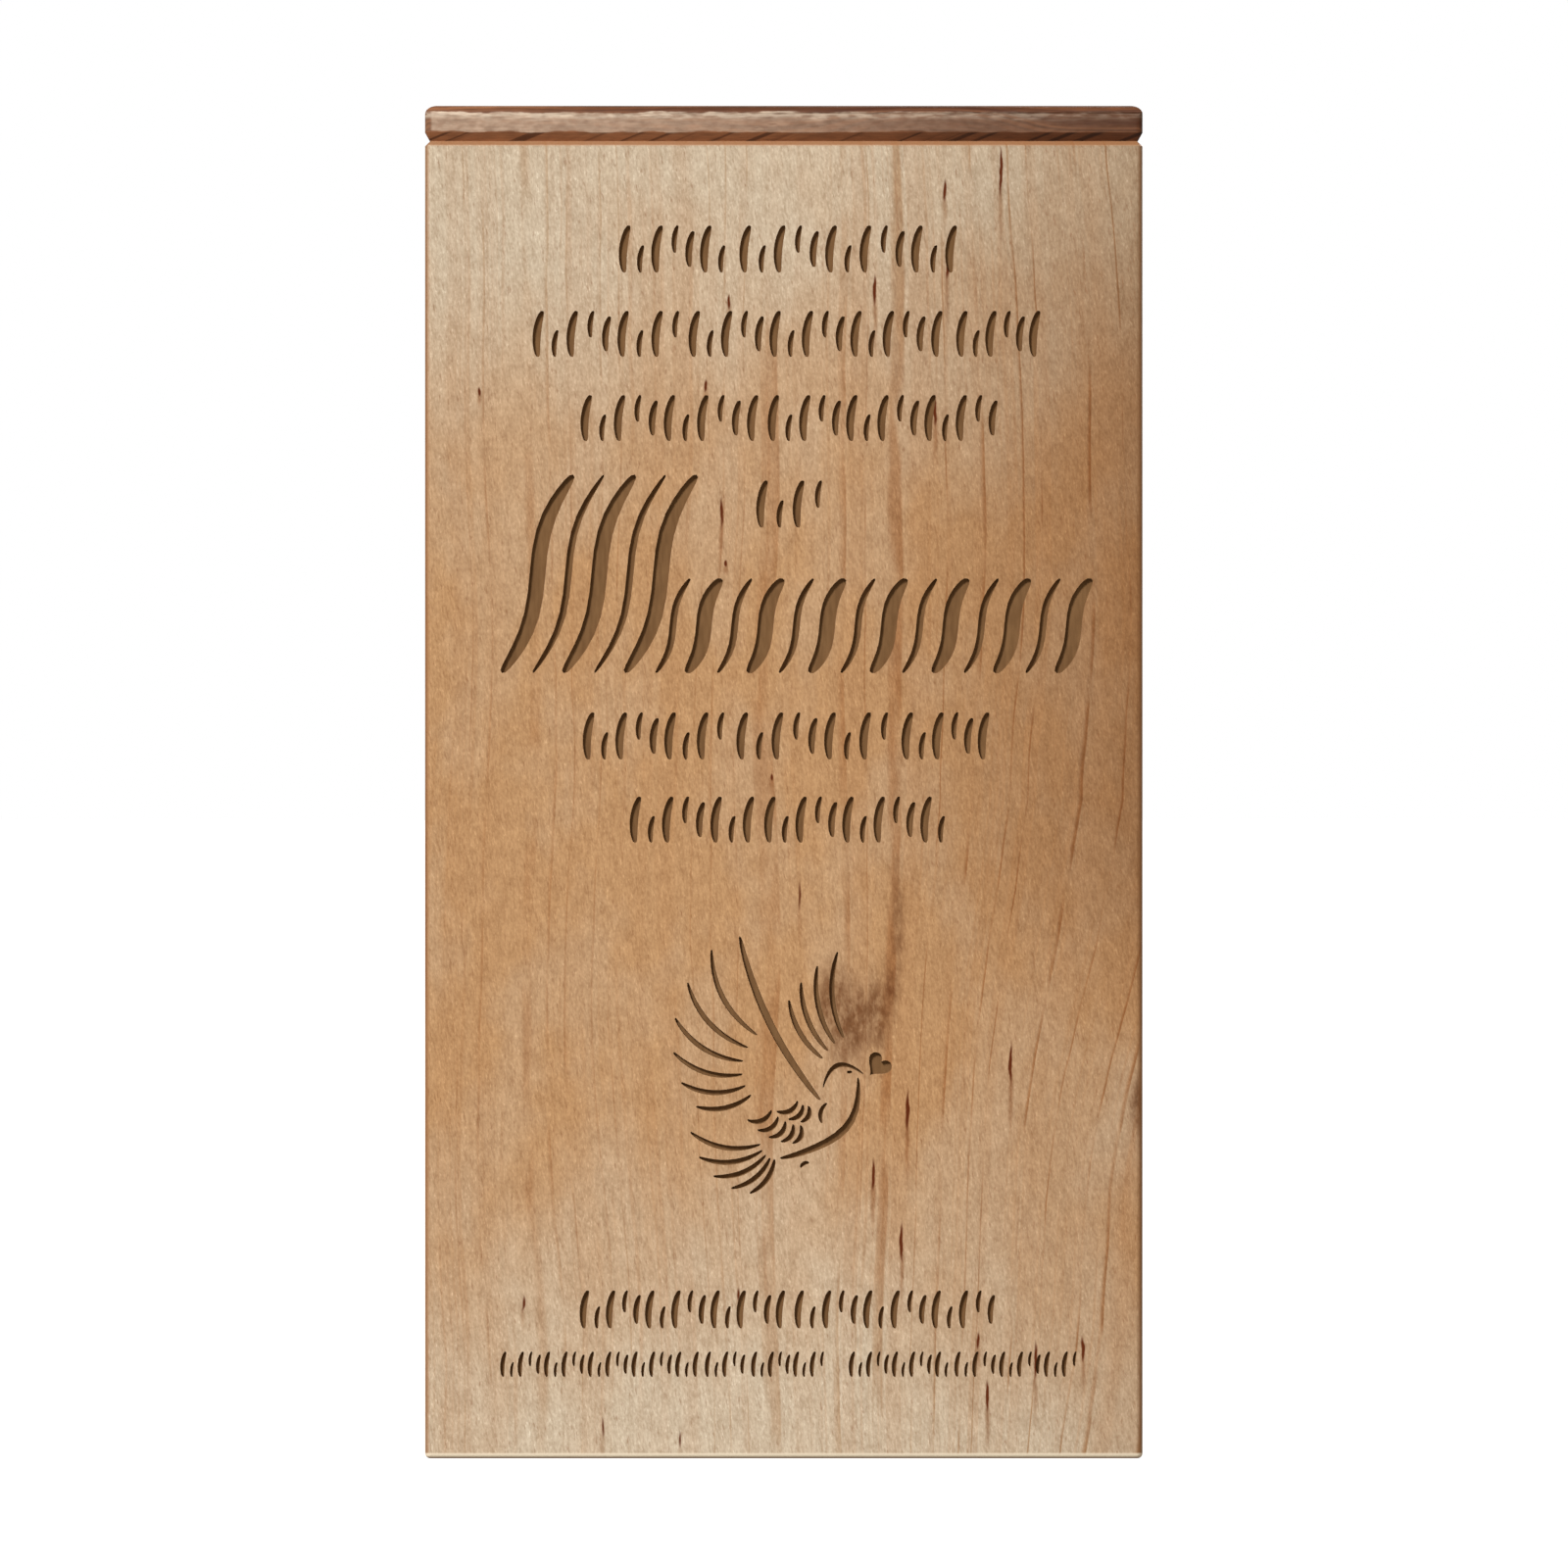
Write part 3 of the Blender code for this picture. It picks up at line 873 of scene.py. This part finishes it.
def fine_grain(tree, place, colour, seed):
    leaning = calculate(tree, "MULTIPLY_ADD", place.up, GRAIN_LEAN, place.across)
    inputs = {0: leaning, 1: place.inward, 2: place.up}
    grain = add_node(tree, "CombineXYZ", inputs).outputs[0]
    fibre = speckle(tree, grain, FIBRE_SIZE, seed + 8, detail=3)
    mottle = speckle(tree, grain, MOTTLE_SIZE, seed + 9, detail=4, roughness=0.65)
    drift = speckle(tree, grain, DRIFT_SIZE, seed + 15)
    shade = total(
        tree,
        ease(tree, fibre, *FIBRE_SHADE),
        ease(tree, mottle, *MOTTLE_SHADE),
        ease(tree, drift, *DRIFT_SHADE),
    )
    colour = tint(tree, 1.0, colour, blend(tree, shade, SHADED, LIT))
    fleck = ease(tree, speckle(tree, grain, FLECK_SIZE, seed + 10), *FLECKS_SHOW)
    colour = tint(tree, fleck, colour, FLECK)
    dash = ease(tree, speckle(tree, grain, DASH_SIZE, seed + 11), *DASHES_SHOW)
    return blend(tree, dash, colour, DASH), fibre, mottle


# %% [markdown]
# ## Mineral streaks and the knot
#
# A streak is a thin dark core in a soft reddish tail. A slow jitter moves its points a little to
# the side, so that it isn't a perfect oval. The knot's smudge is blotchy, because the fibres
# there run every way and take up the finish unevenly.

# %% Mineral marks
STREAK = linear(96, 38, 4)
STAIN = (0.60, 0.43, 0.31, 1.0)
SMUDGE = (0.39, 0.27, 0.19, 1.0)
JITTER = 0.0010
JITTER_SIZE = (0.0030, 0.0030, 0.0040)
BLOTCH_SIZE = (0.0017, 0.0017, 0.0032)
TAIL_WIDER = 1.9
TAIL_LONGER = 1.3
TAIL_EDGE = (1.1, 0.1, 0.0, 0.80)
CORE_EDGE = (1.15, 0.55)
SMUDGE_EDGE = (2.2, 0.5)
BLOTCHY = (0.36, 0.64, 0.42, 1.0)


def mineral_marks(tree, place, colour, seed, streaks, smudges):
    jitter = speckle(tree, place.point, JITTER_SIZE, seed + 12)
    nudge = calculate(tree, "MULTIPLY_ADD", jitter, JITTER, -JITTER / 2)
    inputs = {0: total(tree, place.across, nudge), 2: place.up}
    nudged = add_node(tree, "CombineXYZ", inputs).outputs[0]
    tail = nearest(tree, nudged, streak_spots(streaks, TAIL_WIDER, TAIL_LONGER))
    core = nearest(tree, nudged, streak_spots(streaks))
    colour = tint(tree, ease(tree, tail, *TAIL_EDGE), colour, STAIN)
    colour = blend(tree, ease(tree, core, *CORE_EDGE), colour, STREAK)
    if smudges:
        smear = ease(tree, nearest(tree, nudged, smudges), *SMUDGE_EDGE)
        blotch = speckle(tree, place.point, BLOTCH_SIZE, seed + 14, detail=3, roughness=0.6)
        share = product(tree, smear, ease(tree, blotch, *BLOTCHY))
        colour = tint(tree, share, colour, SMUDGE)
    return colour


# %% [markdown]
# ## Eased edges
#
# End grain drinks more of the finish, so the eased corners and the rim are darker; on the rim this
# is also painted shade of the groove under the lid. At the foot a painted highlight makes a pale
# line, with a painted shadow right below it where the box meets the table.

# %% Edges
# The end grain colour also paints the shadow at the foot, and the pale foot colour is a painted
# highlight.
END_GRAIN_AND_SHADE = linear(153, 104, 66)
PAINTED_FOOT_HIGHLIGHT = linear(255, 240, 214)
DARK_SIDE = (0.0012, 0.0003, 0.0, 0.75)
DARK_RIM_AND_GROOVE_SHADE = (RIM - 0.0012, RIM - 0.0006, 0.0, 0.9)
FOOT_HIGHLIGHT = (0.0013, 0.0008, 0.0, 0.9)
FOOT_SHADOW = (0.0004, 0.0002, 0.0, 0.8)


def end_grain_and_painted_foot(tree, place, colour):
    sideways = calculate(tree, "ABSOLUTE", place.across)
    from_side = calculate(tree, "SUBTRACT", HALF_WIDTH, sideways)
    side = ease(tree, from_side, *DARK_SIDE)
    rim = ease(tree, place.up, *DARK_RIM_AND_GROOVE_SHADE)
    # Darker corners and rim: end grain, and on the rim also painted shade of the groove under the
    # lid.
    colour = blend(tree, calculate(tree, "MAXIMUM", side, rim), colour, END_GRAIN_AND_SHADE)
    # A painted highlight along the foot, and a painted shadow right below it.
    colour = blend(tree, ease(tree, place.up, *FOOT_HIGHLIGHT), colour, PAINTED_FOOT_HIGHLIGHT)
    return blend(tree, ease(tree, place.up, *FOOT_SHADOW), colour, END_GRAIN_AND_SHADE)


# %% [markdown]
# ## The maple finish
#
# The functions above are now chained into one finish, and the same function finishes every board.
# The varnish is thin and satin: the wood's own roughness varies with the fibres, and a weak coat
# lies over it. The fibres also dent the surface a little, through a Bump node. What is the same
# all over a board, such as the coat, is set on the shader itself.

# %% Maple
MAPLE_SATIN = (0.2, 0.8, 0.38, 0.52)
MAPLE_BUMP = (0.35, 0.00006)
MOTTLE_HEIGHT = 0.6


def bump(tree, height, strength, distance):
    """Shades the surface as if it rose and fell by about that distance."""
    inputs = {"Height": height, "Strength": strength, "Distance": distance}
    return add_node(tree, "Bump", inputs).outputs[0]


def maple(name, seed, streaks, smudges=(), patches=(), rotation=UPRIGHT, lift=0.0):
    finish, tree, shader = start_finish(name)
    place = place_in_board(tree, rotation, lift)
    colour = board_tone(tree, place, seed, patches)
    colour = growth_layers(tree, place, colour, seed)
    colour, fibre, mottle = fine_grain(tree, place, colour, seed)
    colour = mineral_marks(tree, place, colour, seed, streaks, smudges)
    height = total(tree, fibre, product(tree, mottle, MOTTLE_HEIGHT))
    surface = {
        "Base Color": end_grain_and_painted_foot(tree, place, colour),
        "Roughness": ease(tree, fibre, *MAPLE_SATIN),
        "Normal": bump(tree, height, *MAPLE_BUMP),
        "Specular IOR Level": 0.2,
        "Coat Weight": 0.03,
        "Coat Roughness": 0.32,
    }
    feed(tree, shader, surface)
    return finish


# %% [markdown]
# ## Four finished boards
#
# The front board gets its own streaks and spots, and the other three get drawn streaks and no
# spots. Each finish is turned against its board's turn, which brings that board's face to the
# front of the pattern.

# %% Finish the boards
OTHER_STREAKS = 14
FRONT_SEED = 11.0
OTHER_SEED = 37.0
NEXT_SEED = 26

front = maple("maple_front", FRONT_SEED, FRONT_STREAKS, KNOT_SPOTS, PALE_SPOTS)
maples = {"front_board": front}
for number, name in enumerate(("right_board", "back_board", "left_board")):
    drawn = drawn_streaks(number + 5, OTHER_STREAKS)
    turned_back = (0, 0, -TURNS[name])
    seed = OTHER_SEED + NEXT_SEED * number
    maples[name] = maple("maple_" + name, seed, drawn, rotation=turned_back)
for name, finish in maples.items():
    boards[name].data.materials.clear()
    boards[name].data.materials.append(finish)
print("maple finishes:", sorted(finish.name for finish in maples.values()))

# %% [markdown]
# ## The scorched cuts
#
# The cutting scorches the wood, so the pockets are a dull greyish brown. The colour is uneven,
# because hard and soft layers of the wood burn differently, and the surface is rough. The cutter
# carries this finish, and the Boolean hands it on to the walls and floors that it cuts.

# %% Scorched wood
SCORCHED = linear(132, 98, 63)
SOOT = linear(104, 73, 43)
SOOT_SIZE = (0.0009, 0.0009, 0.0045)
ASH_SIZE = (0.006, 0.006, 0.012)
SOOT_SHOWS = (0.3, 0.7, 0.0, 0.5)
ASH_SHOWS = (0.3, 0.7, 0.0, 0.25)
CHAR_BUMP = (0.5, 0.00008)


def scorched():
    finish, tree, shader = start_finish("scorched_wood")
    where = place_in_board(tree).point
    soot = speckle(tree, where, SOOT_SIZE, 3.0, detail=3)
    ash = speckle(tree, where, ASH_SIZE, 5.0)
    burnt = total(tree, ease(tree, soot, *SOOT_SHOWS), ease(tree, ash, *ASH_SHOWS))
    surface = {
        "Base Color": blend(tree, burnt, SCORCHED, SOOT),
        "Roughness": 0.75,
        "Normal": bump(tree, soot, *CHAR_BUMP),
        "Specular IOR Level": 0.15,
    }
    feed(tree, shader, surface)
    return finish


engraver = make_object("engraving_cutter", engraving)
engraver.data.materials.append(scorched())
carve(boards["front_board"], engraver)
bpy.data.objects.remove(engraver)
faces = boards["front_board"].data.polygons
cut_area = sum(face.area for face in faces if face.material_index)
print(f"front board: {len(faces)} faces, {cut_area * 1e6:.0f} mm2 cut")

# %% [markdown]
# ## The lid
#
# The lid is one walnut board with a moulded edge, and it keeps its place by a tongue underneath
# that drops between the walls. From the front only its edge shows: a round shoulder, a flat band,
# and a chamfer below that makes the other half of the groove.
#
# The underside is worked by insets, one ring after another. An inset with a depth gives a sloping
# ring, and one without gives a flat one. Doubles are merged each time, because an inset leaves
# points on top of each other where it runs into a rounded corner.

# %% Work the underside
WELD = 0.00005


def underside(bm):
    """The lowest level face, which every inset starts from."""
    level = [face for face in bm.faces if face.normal.z < -FLAT_ENOUGH]
    return min(level, key=lambda face: face.calc_center_median().z)


def step_in(bm, thickness, depth):
    """Insets the underside, and pushes it down by depth."""
    bm.normal_update()
    bmesh.ops.inset_region(
        bm, faces=[underside(bm)], thickness=thickness, depth=depth, use_even_offset=True
    )
    bmesh.ops.remove_doubles(bm, verts=bm.verts, dist=WELD)


# %% [markdown]
# ## The lid from a slab
#
# The shoulder is wider than it is high, which a bevel can't do directly. So the slab is made too
# tall, bevelled with a round of even size, and pressed down to its real height afterwards. Four
# steps on the underside then make the undercut, the flat that rests on the rim, the tongue's walls
# and the tongue's eased edge.

# %% The lid
LID_FOOT = RIM + HAIRLINE
UNDERCUT_DEPTH = 0.0010
UNDERCUT_HEIGHT = 0.0016
SHOULDER_DEPTH = 0.0026
SHOULDER_HEIGHT = 0.0019
LID_CORNER_ROUND = 0.0010
TONGUE_CLEARANCE = 0.0006
TONGUE_EASE = 0.0005


def lid():
    press = SHOULDER_HEIGHT / SHOULDER_DEPTH
    low = Vector((-HALF_WIDTH, -HALF_DEPTH, 0))
    high = Vector((HALF_WIDTH, HALF_DEPTH, (TOP - LID_FOOT - UNDERCUT_HEIGHT) / press))
    bm = block(low, high)
    ease_edges(bm, edges_at_height(bm, high.z), SHOULDER_DEPTH, ROUND_SEGMENTS)
    bmesh.ops.scale(bm, vec=(1, 1, press), verts=bm.verts)
    bmesh.ops.translate(bm, vec=(0, 0, LID_FOOT + UNDERCUT_HEIGHT), verts=bm.verts)
    ease_edges(bm, upright_edges(bm), LID_CORNER_ROUND, ROUND_SEGMENTS)
    step_in(bm, UNDERCUT_DEPTH, UNDERCUT_HEIGHT)
    step_in(bm, WALL + TONGUE_CLEARANCE - UNDERCUT_DEPTH, 0)
    step_in(bm, 0, LID_FOOT - TONGUE_FOOT - TONGUE_EASE)
    step_in(bm, TONGUE_EASE, TONGUE_EASE)
    return make_object("lid_board", bm)


walnut_lid = lid()
print("lid:", [f"{size * 1000:.1f} mm" for size in walnut_lid.dimensions])

# %% [markdown]
# ## Layers in walnut
#
# The lid's grain runs from left to right, so its noises are stretched along X, and its layers
# follow a number that grows from the front to the back and upwards. That way the top and the front
# edge show long bands, and the left and right ends show them cut across, short and slanting.

# %% Walnut layers
WALNUT = linear(146, 96, 63)
WALNUT_DARK = linear(104, 60, 35)
WALNUT_LINE = linear(70, 36, 18)
BAND = 0.0045
BANDS_SHOW = (0.35, 0.68)
LINE = 0.0012
LINES_SHOW = (0.45, 0.72, 0.0, 0.45)
BAND_WANDER = 0.030
BAND_WANDER_SIZE = (0.060, 0.020, 0.012)
BAND_SLOPE = 1.6


def walnut_layers(tree, place):
    wander = speckle(tree, place.point, BAND_WANDER_SIZE, 21.0, detail=1)
    depth = total(tree, place.inward, product(tree, place.up, BAND_SLOPE))
    number = calculate(tree, "MULTIPLY_ADD", wander, BAND_WANDER, depth)
    broad = ease(tree, layers(tree, number, BAND, 22.0), *BANDS_SHOW)
    fine = ease(tree, layers(tree, number, LINE, 23.0), *LINES_SHOW)
    return blend(tree, fine, blend(tree, broad, WALNUT, WALNUT_DARK), WALNUT_LINE)


# %% [markdown]
# ## The moulded edge
#
# The moulding cuts through the layers at different slopes. The undercut shows warm wood with dark
# layers running aslant. Painted shade darkens the shoulder, all but its left end, and the whole lid
# towards the right, and the undercut most.

# %% Undercut and shoulder
WALNUT_WARM = linear(172, 112, 74)
# A painted shade tint, for the shoulder, the right of the lid and the undercut.
PAINTED_SHADE_TINT = (0.50, 0.42, 0.36, 1.0)
FLAT_FROM = LID_FOOT + UNDERCUT_HEIGHT
ASLANT = -2.6
ASLANT_LAYER = 0.0042
ASLANT_SHOWS = (0.54, 0.68, 0.0, 0.75)
WARMTH = 0.75
UNDERCUT = (FLAT_FROM + 0.0003, FLAT_FROM - 0.0002)
SHOULDER = (TOP - 0.0016, TOP - 0.0010)
SHOULDER_SHADE = (-0.060, -0.035, 0.0, 0.95)
LID_SHADE_TO_RIGHT = (-0.045, 0.070, 0.0, 0.9)
UNDERCUT_SHADE_TO_RIGHT = (0.010, 0.060, 0.0, 0.6)


def undercut_and_shoulder(tree, place, colour):
    aslant = calculate(tree, "MULTIPLY_ADD", place.up, ASLANT, place.across)
    slant = ease(tree, layers(tree, aslant, ASLANT_LAYER, 27.0), *ASLANT_SHOWS)
    lower = ease(tree, place.up, *UNDERCUT)
    colour = blend(tree, product(tree, lower, WARMTH), colour, WALNUT_WARM)
    colour = blend(tree, product(tree, slant, lower), colour, WALNUT_LINE)

    # Painted shade on the shoulder, and on the whole lid towards the right.
    upper = ease(tree, place.up, *SHOULDER)
    shoulder = product(tree, upper, ease(tree, place.across, *SHOULDER_SHADE))
    shade_to_right = ease(tree, place.across, *LID_SHADE_TO_RIGHT)
    colour = tint(tree, calculate(tree, "MAXIMUM", shoulder, shade_to_right), colour, PAINTED_SHADE_TINT)
    # More painted shade in the undercut towards the right.
    share = product(tree, lower, ease(tree, place.across, *UNDERCUT_SHADE_TO_RIGHT))
    return tint(tree, share, colour, PAINTED_SHADE_TINT)


# %% [markdown]
# ## The painted sheen band
#
# Between the shoulder and the undercut the edge is flat, and there a painted sheen makes the wood
# paler and greyer. The sheen fades towards the right, its borders waver, and it stops short of the
# rounded ends, where the brown wood shows again.

# %% The painted sheen band
# The colour of the painted sheen on the flat band.
WALNUT_SHEEN = linear(188, 160, 138)
WAVER = (0.3, 0.7, -0.00025, 0.00025)
WAVER_SIZE = (0.006, 0.006, 0.006)
BAND_FOOT = (FLAT_FROM - 0.0001, FLAT_FROM + 0.0003)
BAND_TOP = (TOP - 0.0013, TOP - 0.0017)
SHEEN_FADES = (0.080, -0.076, 0.04, 0.98)
SHEEN_ENDS = (0.0009, 0.0016, 0.15, 1.0)
SHEEN_PATCH_SIZE = (0.0016, 0.0012, 0.0009)
SHEEN_PATCHY = (0.30, 0.66, 0.72, 1.05)


def painted_sheen_band(tree, place, colour):
    noise = speckle(tree, place.point, WAVER_SIZE, 26.0, detail=3)
    level = total(tree, place.up, ease(tree, noise, *WAVER))
    flat = product(tree, ease(tree, level, *BAND_FOOT), ease(tree, level, *BAND_TOP))

    sideways = calculate(tree, "ABSOLUTE", place.across)
    from_end = calculate(tree, "SUBTRACT", HALF_WIDTH, sideways)
    sheen_fade = product(tree, ease(tree, place.across, *SHEEN_FADES), ease(tree, from_end, *SHEEN_ENDS))
    noise = speckle(tree, place.point, SHEEN_PATCH_SIZE, 28.0, detail=3)
    patches = ease(tree, noise, *SHEEN_PATCHY)
    # Painted sheen: paler and greyer on the flat band, fading towards the right.
    colour = blend(tree, product(tree, flat, sheen_fade, patches), colour, WALNUT_SHEEN)
    return colour, level, flat


# %% [markdown]
# ## The painted highlight line
#
# A painted highlight, broken into streaks, runs along the top of the band. It wavers as the band
# does, because it is drawn from the same wavering level, and it fades towards the right too.

# %% The painted highlight line
# The colour of the painted highlight along the top of the band.
WALNUT_HIGHLIGHT = linear(226, 206, 184)
HIGHLIGHT_FADES = (0.095, -0.045, 0.12, 0.95)
HIGHLIGHT_LEVEL = (TOP - 0.0032, TOP - 0.0020, 0.0, 0.9)
HIGHLIGHT_STREAK_SIZE = (0.0030, 0.0010, 0.0006)
HIGHLIGHT_STREAKY = (0.36, 0.62, 0.15, 1.0)


def painted_highlight_line(tree, place, colour, level, flat):
    # A painted highlight along the top of the band, fading towards the right.
    highlight_reach = product(tree, flat, ease(tree, place.across, *HIGHLIGHT_FADES))
    noise = speckle(tree, place.point, HIGHLIGHT_STREAK_SIZE, 29.0, detail=3)
    share = product(tree, highlight_reach, ease(tree, level, *HIGHLIGHT_LEVEL), ease(tree, noise, *HIGHLIGHT_STREAKY))
    return blend(tree, share, colour, WALNUT_HIGHLIGHT)


# %% [markdown]
# ## The walnut finish
#
# Walnut has open pores: short dark slits along the grain, that are also dents in the surface. They
# and a mottle go over everything else, and the surface is finished like the maple's.

# %% Walnut
PORE_SIZE = (0.0050, 0.00035, 0.00035)
PORE_SHADE = (0.3, 0.7, -0.10, 0.08)
PORES_SHOW = (0.62, 0.76, 0.0, 0.5)
PORE_DEPTH = -0.8
WALNUT_MOTTLE_SIZE = (0.0030, 0.0010, 0.0010)
WALNUT_MOTTLE = (0.3, 0.7, 0.90, 1.10)
WALNUT_SATIN = (0.2, 0.8, 0.36, 0.5)
WALNUT_BUMP = (0.4, 0.00008)


def walnut():
    finish, tree, shader = start_finish("walnut")
    place = place_in_board(tree)
    colour = walnut_layers(tree, place)
    colour = undercut_and_shoulder(tree, place, colour)
    colour, level, flat = painted_sheen_band(tree, place, colour)
    colour = painted_highlight_line(tree, place, colour, level, flat)

    pores = speckle(tree, place.point, PORE_SIZE, 24.0, detail=3)
    mottle = speckle(tree, place.point, WALNUT_MOTTLE_SIZE, 25.0, detail=3)
    shade = total(tree, ease(tree, pores, *PORE_SHADE), ease(tree, mottle, *WALNUT_MOTTLE))
    grey = add_node(tree, "CombineColor", {0: shade, 1: shade, 2: shade}).outputs[0]
    colour = tint(tree, 1.0, colour, grey)
    colour = blend(tree, ease(tree, pores, *PORES_SHOW), colour, WALNUT_LINE)

    height = total(tree, mottle, product(tree, pores, PORE_DEPTH))
    surface = {
        "Base Color": colour,
        "Roughness": ease(tree, pores, *WALNUT_SATIN),
        "Normal": bump(tree, height, *WALNUT_BUMP),
        "Specular IOR Level": 0.3,
        "Coat Weight": 0.05,
        "Coat Roughness": 0.3,
    }
    feed(tree, shader, surface)
    return finish


walnut_lid.data.materials.append(walnut())
print("lid finish:", walnut_lid.data.materials[0].name)

# %% [markdown]
# ## The base board
#
# The base board from the frame already has the right shape, so it stays as it is and only gets a
# finish: plain maple, with a draw of streaks of its own. A board that lies flat has its grain
# lying down too, so the pattern is laid over by a quarter turn, and lifted to bring the board to
# the middle of the pattern, away from its eased edges.

# %% The base board
LAID_OVER = (QUARTER_TURN, 0, 0)
BASE_SEED = 120.0

base_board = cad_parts["base_board"]
base_streaks = drawn_streaks(9, 4)
base_finish = maple("maple_base", BASE_SEED, base_streaks, rotation=LAID_OVER, lift=RIM / 2)
for slot in base_board.material_slots:
    slot.material = base_finish
print("base board finish:", base_board.material_slots[0].material.name)

# %% [markdown]
# ## Say what stands for what
#
# Each finer piece rides on the box's one body and stands for the plain piece in its place.

# %% Ride and replace
STANDS_FOR = {
    "front_board": "front_panel",
    "right_board": "right_panel",
    "back_board": "back_panel",
    "left_board": "left_panel",
}
for name, node in STANDS_FOR.items():
    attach(boards[name], "root")
    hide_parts(node)
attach(walnut_lid, "root")
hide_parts("lid")
print("stand for the plain pieces:", len(STANDS_FOR) + 1)

# %% [markdown]
# ## The floor
#
# The box was photographed against pure white with no shadow to speak of, as on a light table. The
# floor here glows, so it stays white, but the box isn't lit by it: light from below would fill the
# cuts and the groove under the lid, which are dark.

# %% The floor
FLOOR_HALF = 30.0
FLOOR_GLOW = 0.96
FLOOR_REFLECTS = 0.20
WHITE = (1, 1, 1, 1)


def floor():
    bm = bmesh.new()
    bmesh.ops.create_grid(bm, x_segments=1, y_segments=1, size=FLOOR_HALF)
    made = make_object("floor", bm)
    finish, tree, shader = start_finish("light_table")
    surface = {
        "Base Color": (FLOOR_REFLECTS, FLOOR_REFLECTS, FLOOR_REFLECTS, 1),
        "Roughness": 1.0,
        "Specular IOR Level": 0.0,
        "Emission Color": WHITE,
        "Emission Strength": FLOOR_GLOW,
    }
    feed(tree, shader, surface)
    made.data.materials.append(finish)
    made.visible_diffuse = False
    made.visible_glossy = False
    return made


floor()
print(f"floor: {2 * FLOOR_HALF:.0f} m square")

# %% [markdown]
# ## Light
#
# A soft sun from the upper left models the cuts. A weaker sun behind the box lights the back and
# the right side for other views, and never reaches the front.

# %% Two suns
# Each sun: elevation and azimuth in degrees, strength and spread in degrees
SUNS = {
    "key": (40, -38, 3.60, 12),
    "fill": (25, 145, 1.50, 40),
}


def sun(name, elevation, azimuth, strength, spread):
    """A sun that shines from so high and from so far round from the front, in degrees."""
    lamp = bpy.data.lights.new(name, "SUN")
    lamp.energy = strength
    lamp.angle = math.radians(spread)
    made = bpy.data.objects.new(name, lamp)
    bpy.context.scene.collection.objects.link(made)
    rise, turn = math.radians(elevation), math.radians(azimuth)
    towards = Vector((math.sin(turn), -math.cos(turn), math.tan(rise)))
    made.rotation_euler = towards.to_track_quat("Z", "Y").to_euler()
    return made


for name, settings in SUNS.items():
    sun(name, *settings)
print("suns:", sorted(SUNS))

# %% [markdown]
# ## The world
#
# A dim warm world fills the shadows. It could light the scene as brightly as it looks, but then
# the cuts would lose their shade, so the camera alone sees it as bright white.

# %% The world
WORLD_STRENGTH = 0.32
WORLD_COLOUR = (1.0, 0.90, 0.76, 1)


def white_world():
    """White to the camera, and dimmer as a light, so that the sun's shadows keep their strength."""
    world = bpy.data.worlds.new("studio")
    world.use_nodes = True
    tree = world.node_tree
    dim = tree.nodes["Background"]
    feed(tree, dim, {"Color": WORLD_COLOUR, "Strength": WORLD_STRENGTH})
    white = add_node(tree, "Background", {"Color": WHITE, "Strength": 1.0})
    ray = add_node(tree, "LightPath").outputs["Is Camera Ray"]
    inputs = {0: ray, 1: dim.outputs[0], 2: white.outputs[0]}
    mixed = add_node(tree, "MixShader", inputs).outputs[0]
    feed(tree, tree.nodes["World Output"], {"Surface": mixed})
    return world


bpy.context.scene.world = white_world()
bpy.context.scene.view_settings.view_transform = "Standard"
print("world light:", WORLD_STRENGTH)

# %% [markdown]
# ## The camera
#
# The photograph was taken straight on, from far away: neither side of the box shows, and its
# upright edges are parallel. A 200 mm lens gives that look. The distance follows from how much of
# the picture's width one millimetre of the front face takes up.

# %% The camera
PHOTO_SIZE = 1600
PIXEL = 0.0001911
BOX_MIDDLE_COLUMN = 799.8
BOX_FOOT_ROW = 1488.5
LENS = 200.0
SENSOR = 36.0

lens = bpy.data.cameras.new("camera")
lens.lens = LENS
lens.sensor_width = SENSOR
camera = bpy.data.objects.new("camera", lens)
bpy.context.scene.collection.objects.link(camera)
distance = PHOTO_SIZE * PIXEL * LENS / SENSOR
camera.location = (
    (PHOTO_SIZE / 2 - BOX_MIDDLE_COLUMN) * PIXEL,
    FACE - distance,
    (BOX_FOOT_ROW - PHOTO_SIZE / 2) * PIXEL,
)
camera.rotation_euler = (QUARTER_TURN, 0, 0)
bpy.context.scene.camera = camera
print(f"camera {distance:.3f} m in front of the face, {camera.location.z * 1000:.1f} mm up")
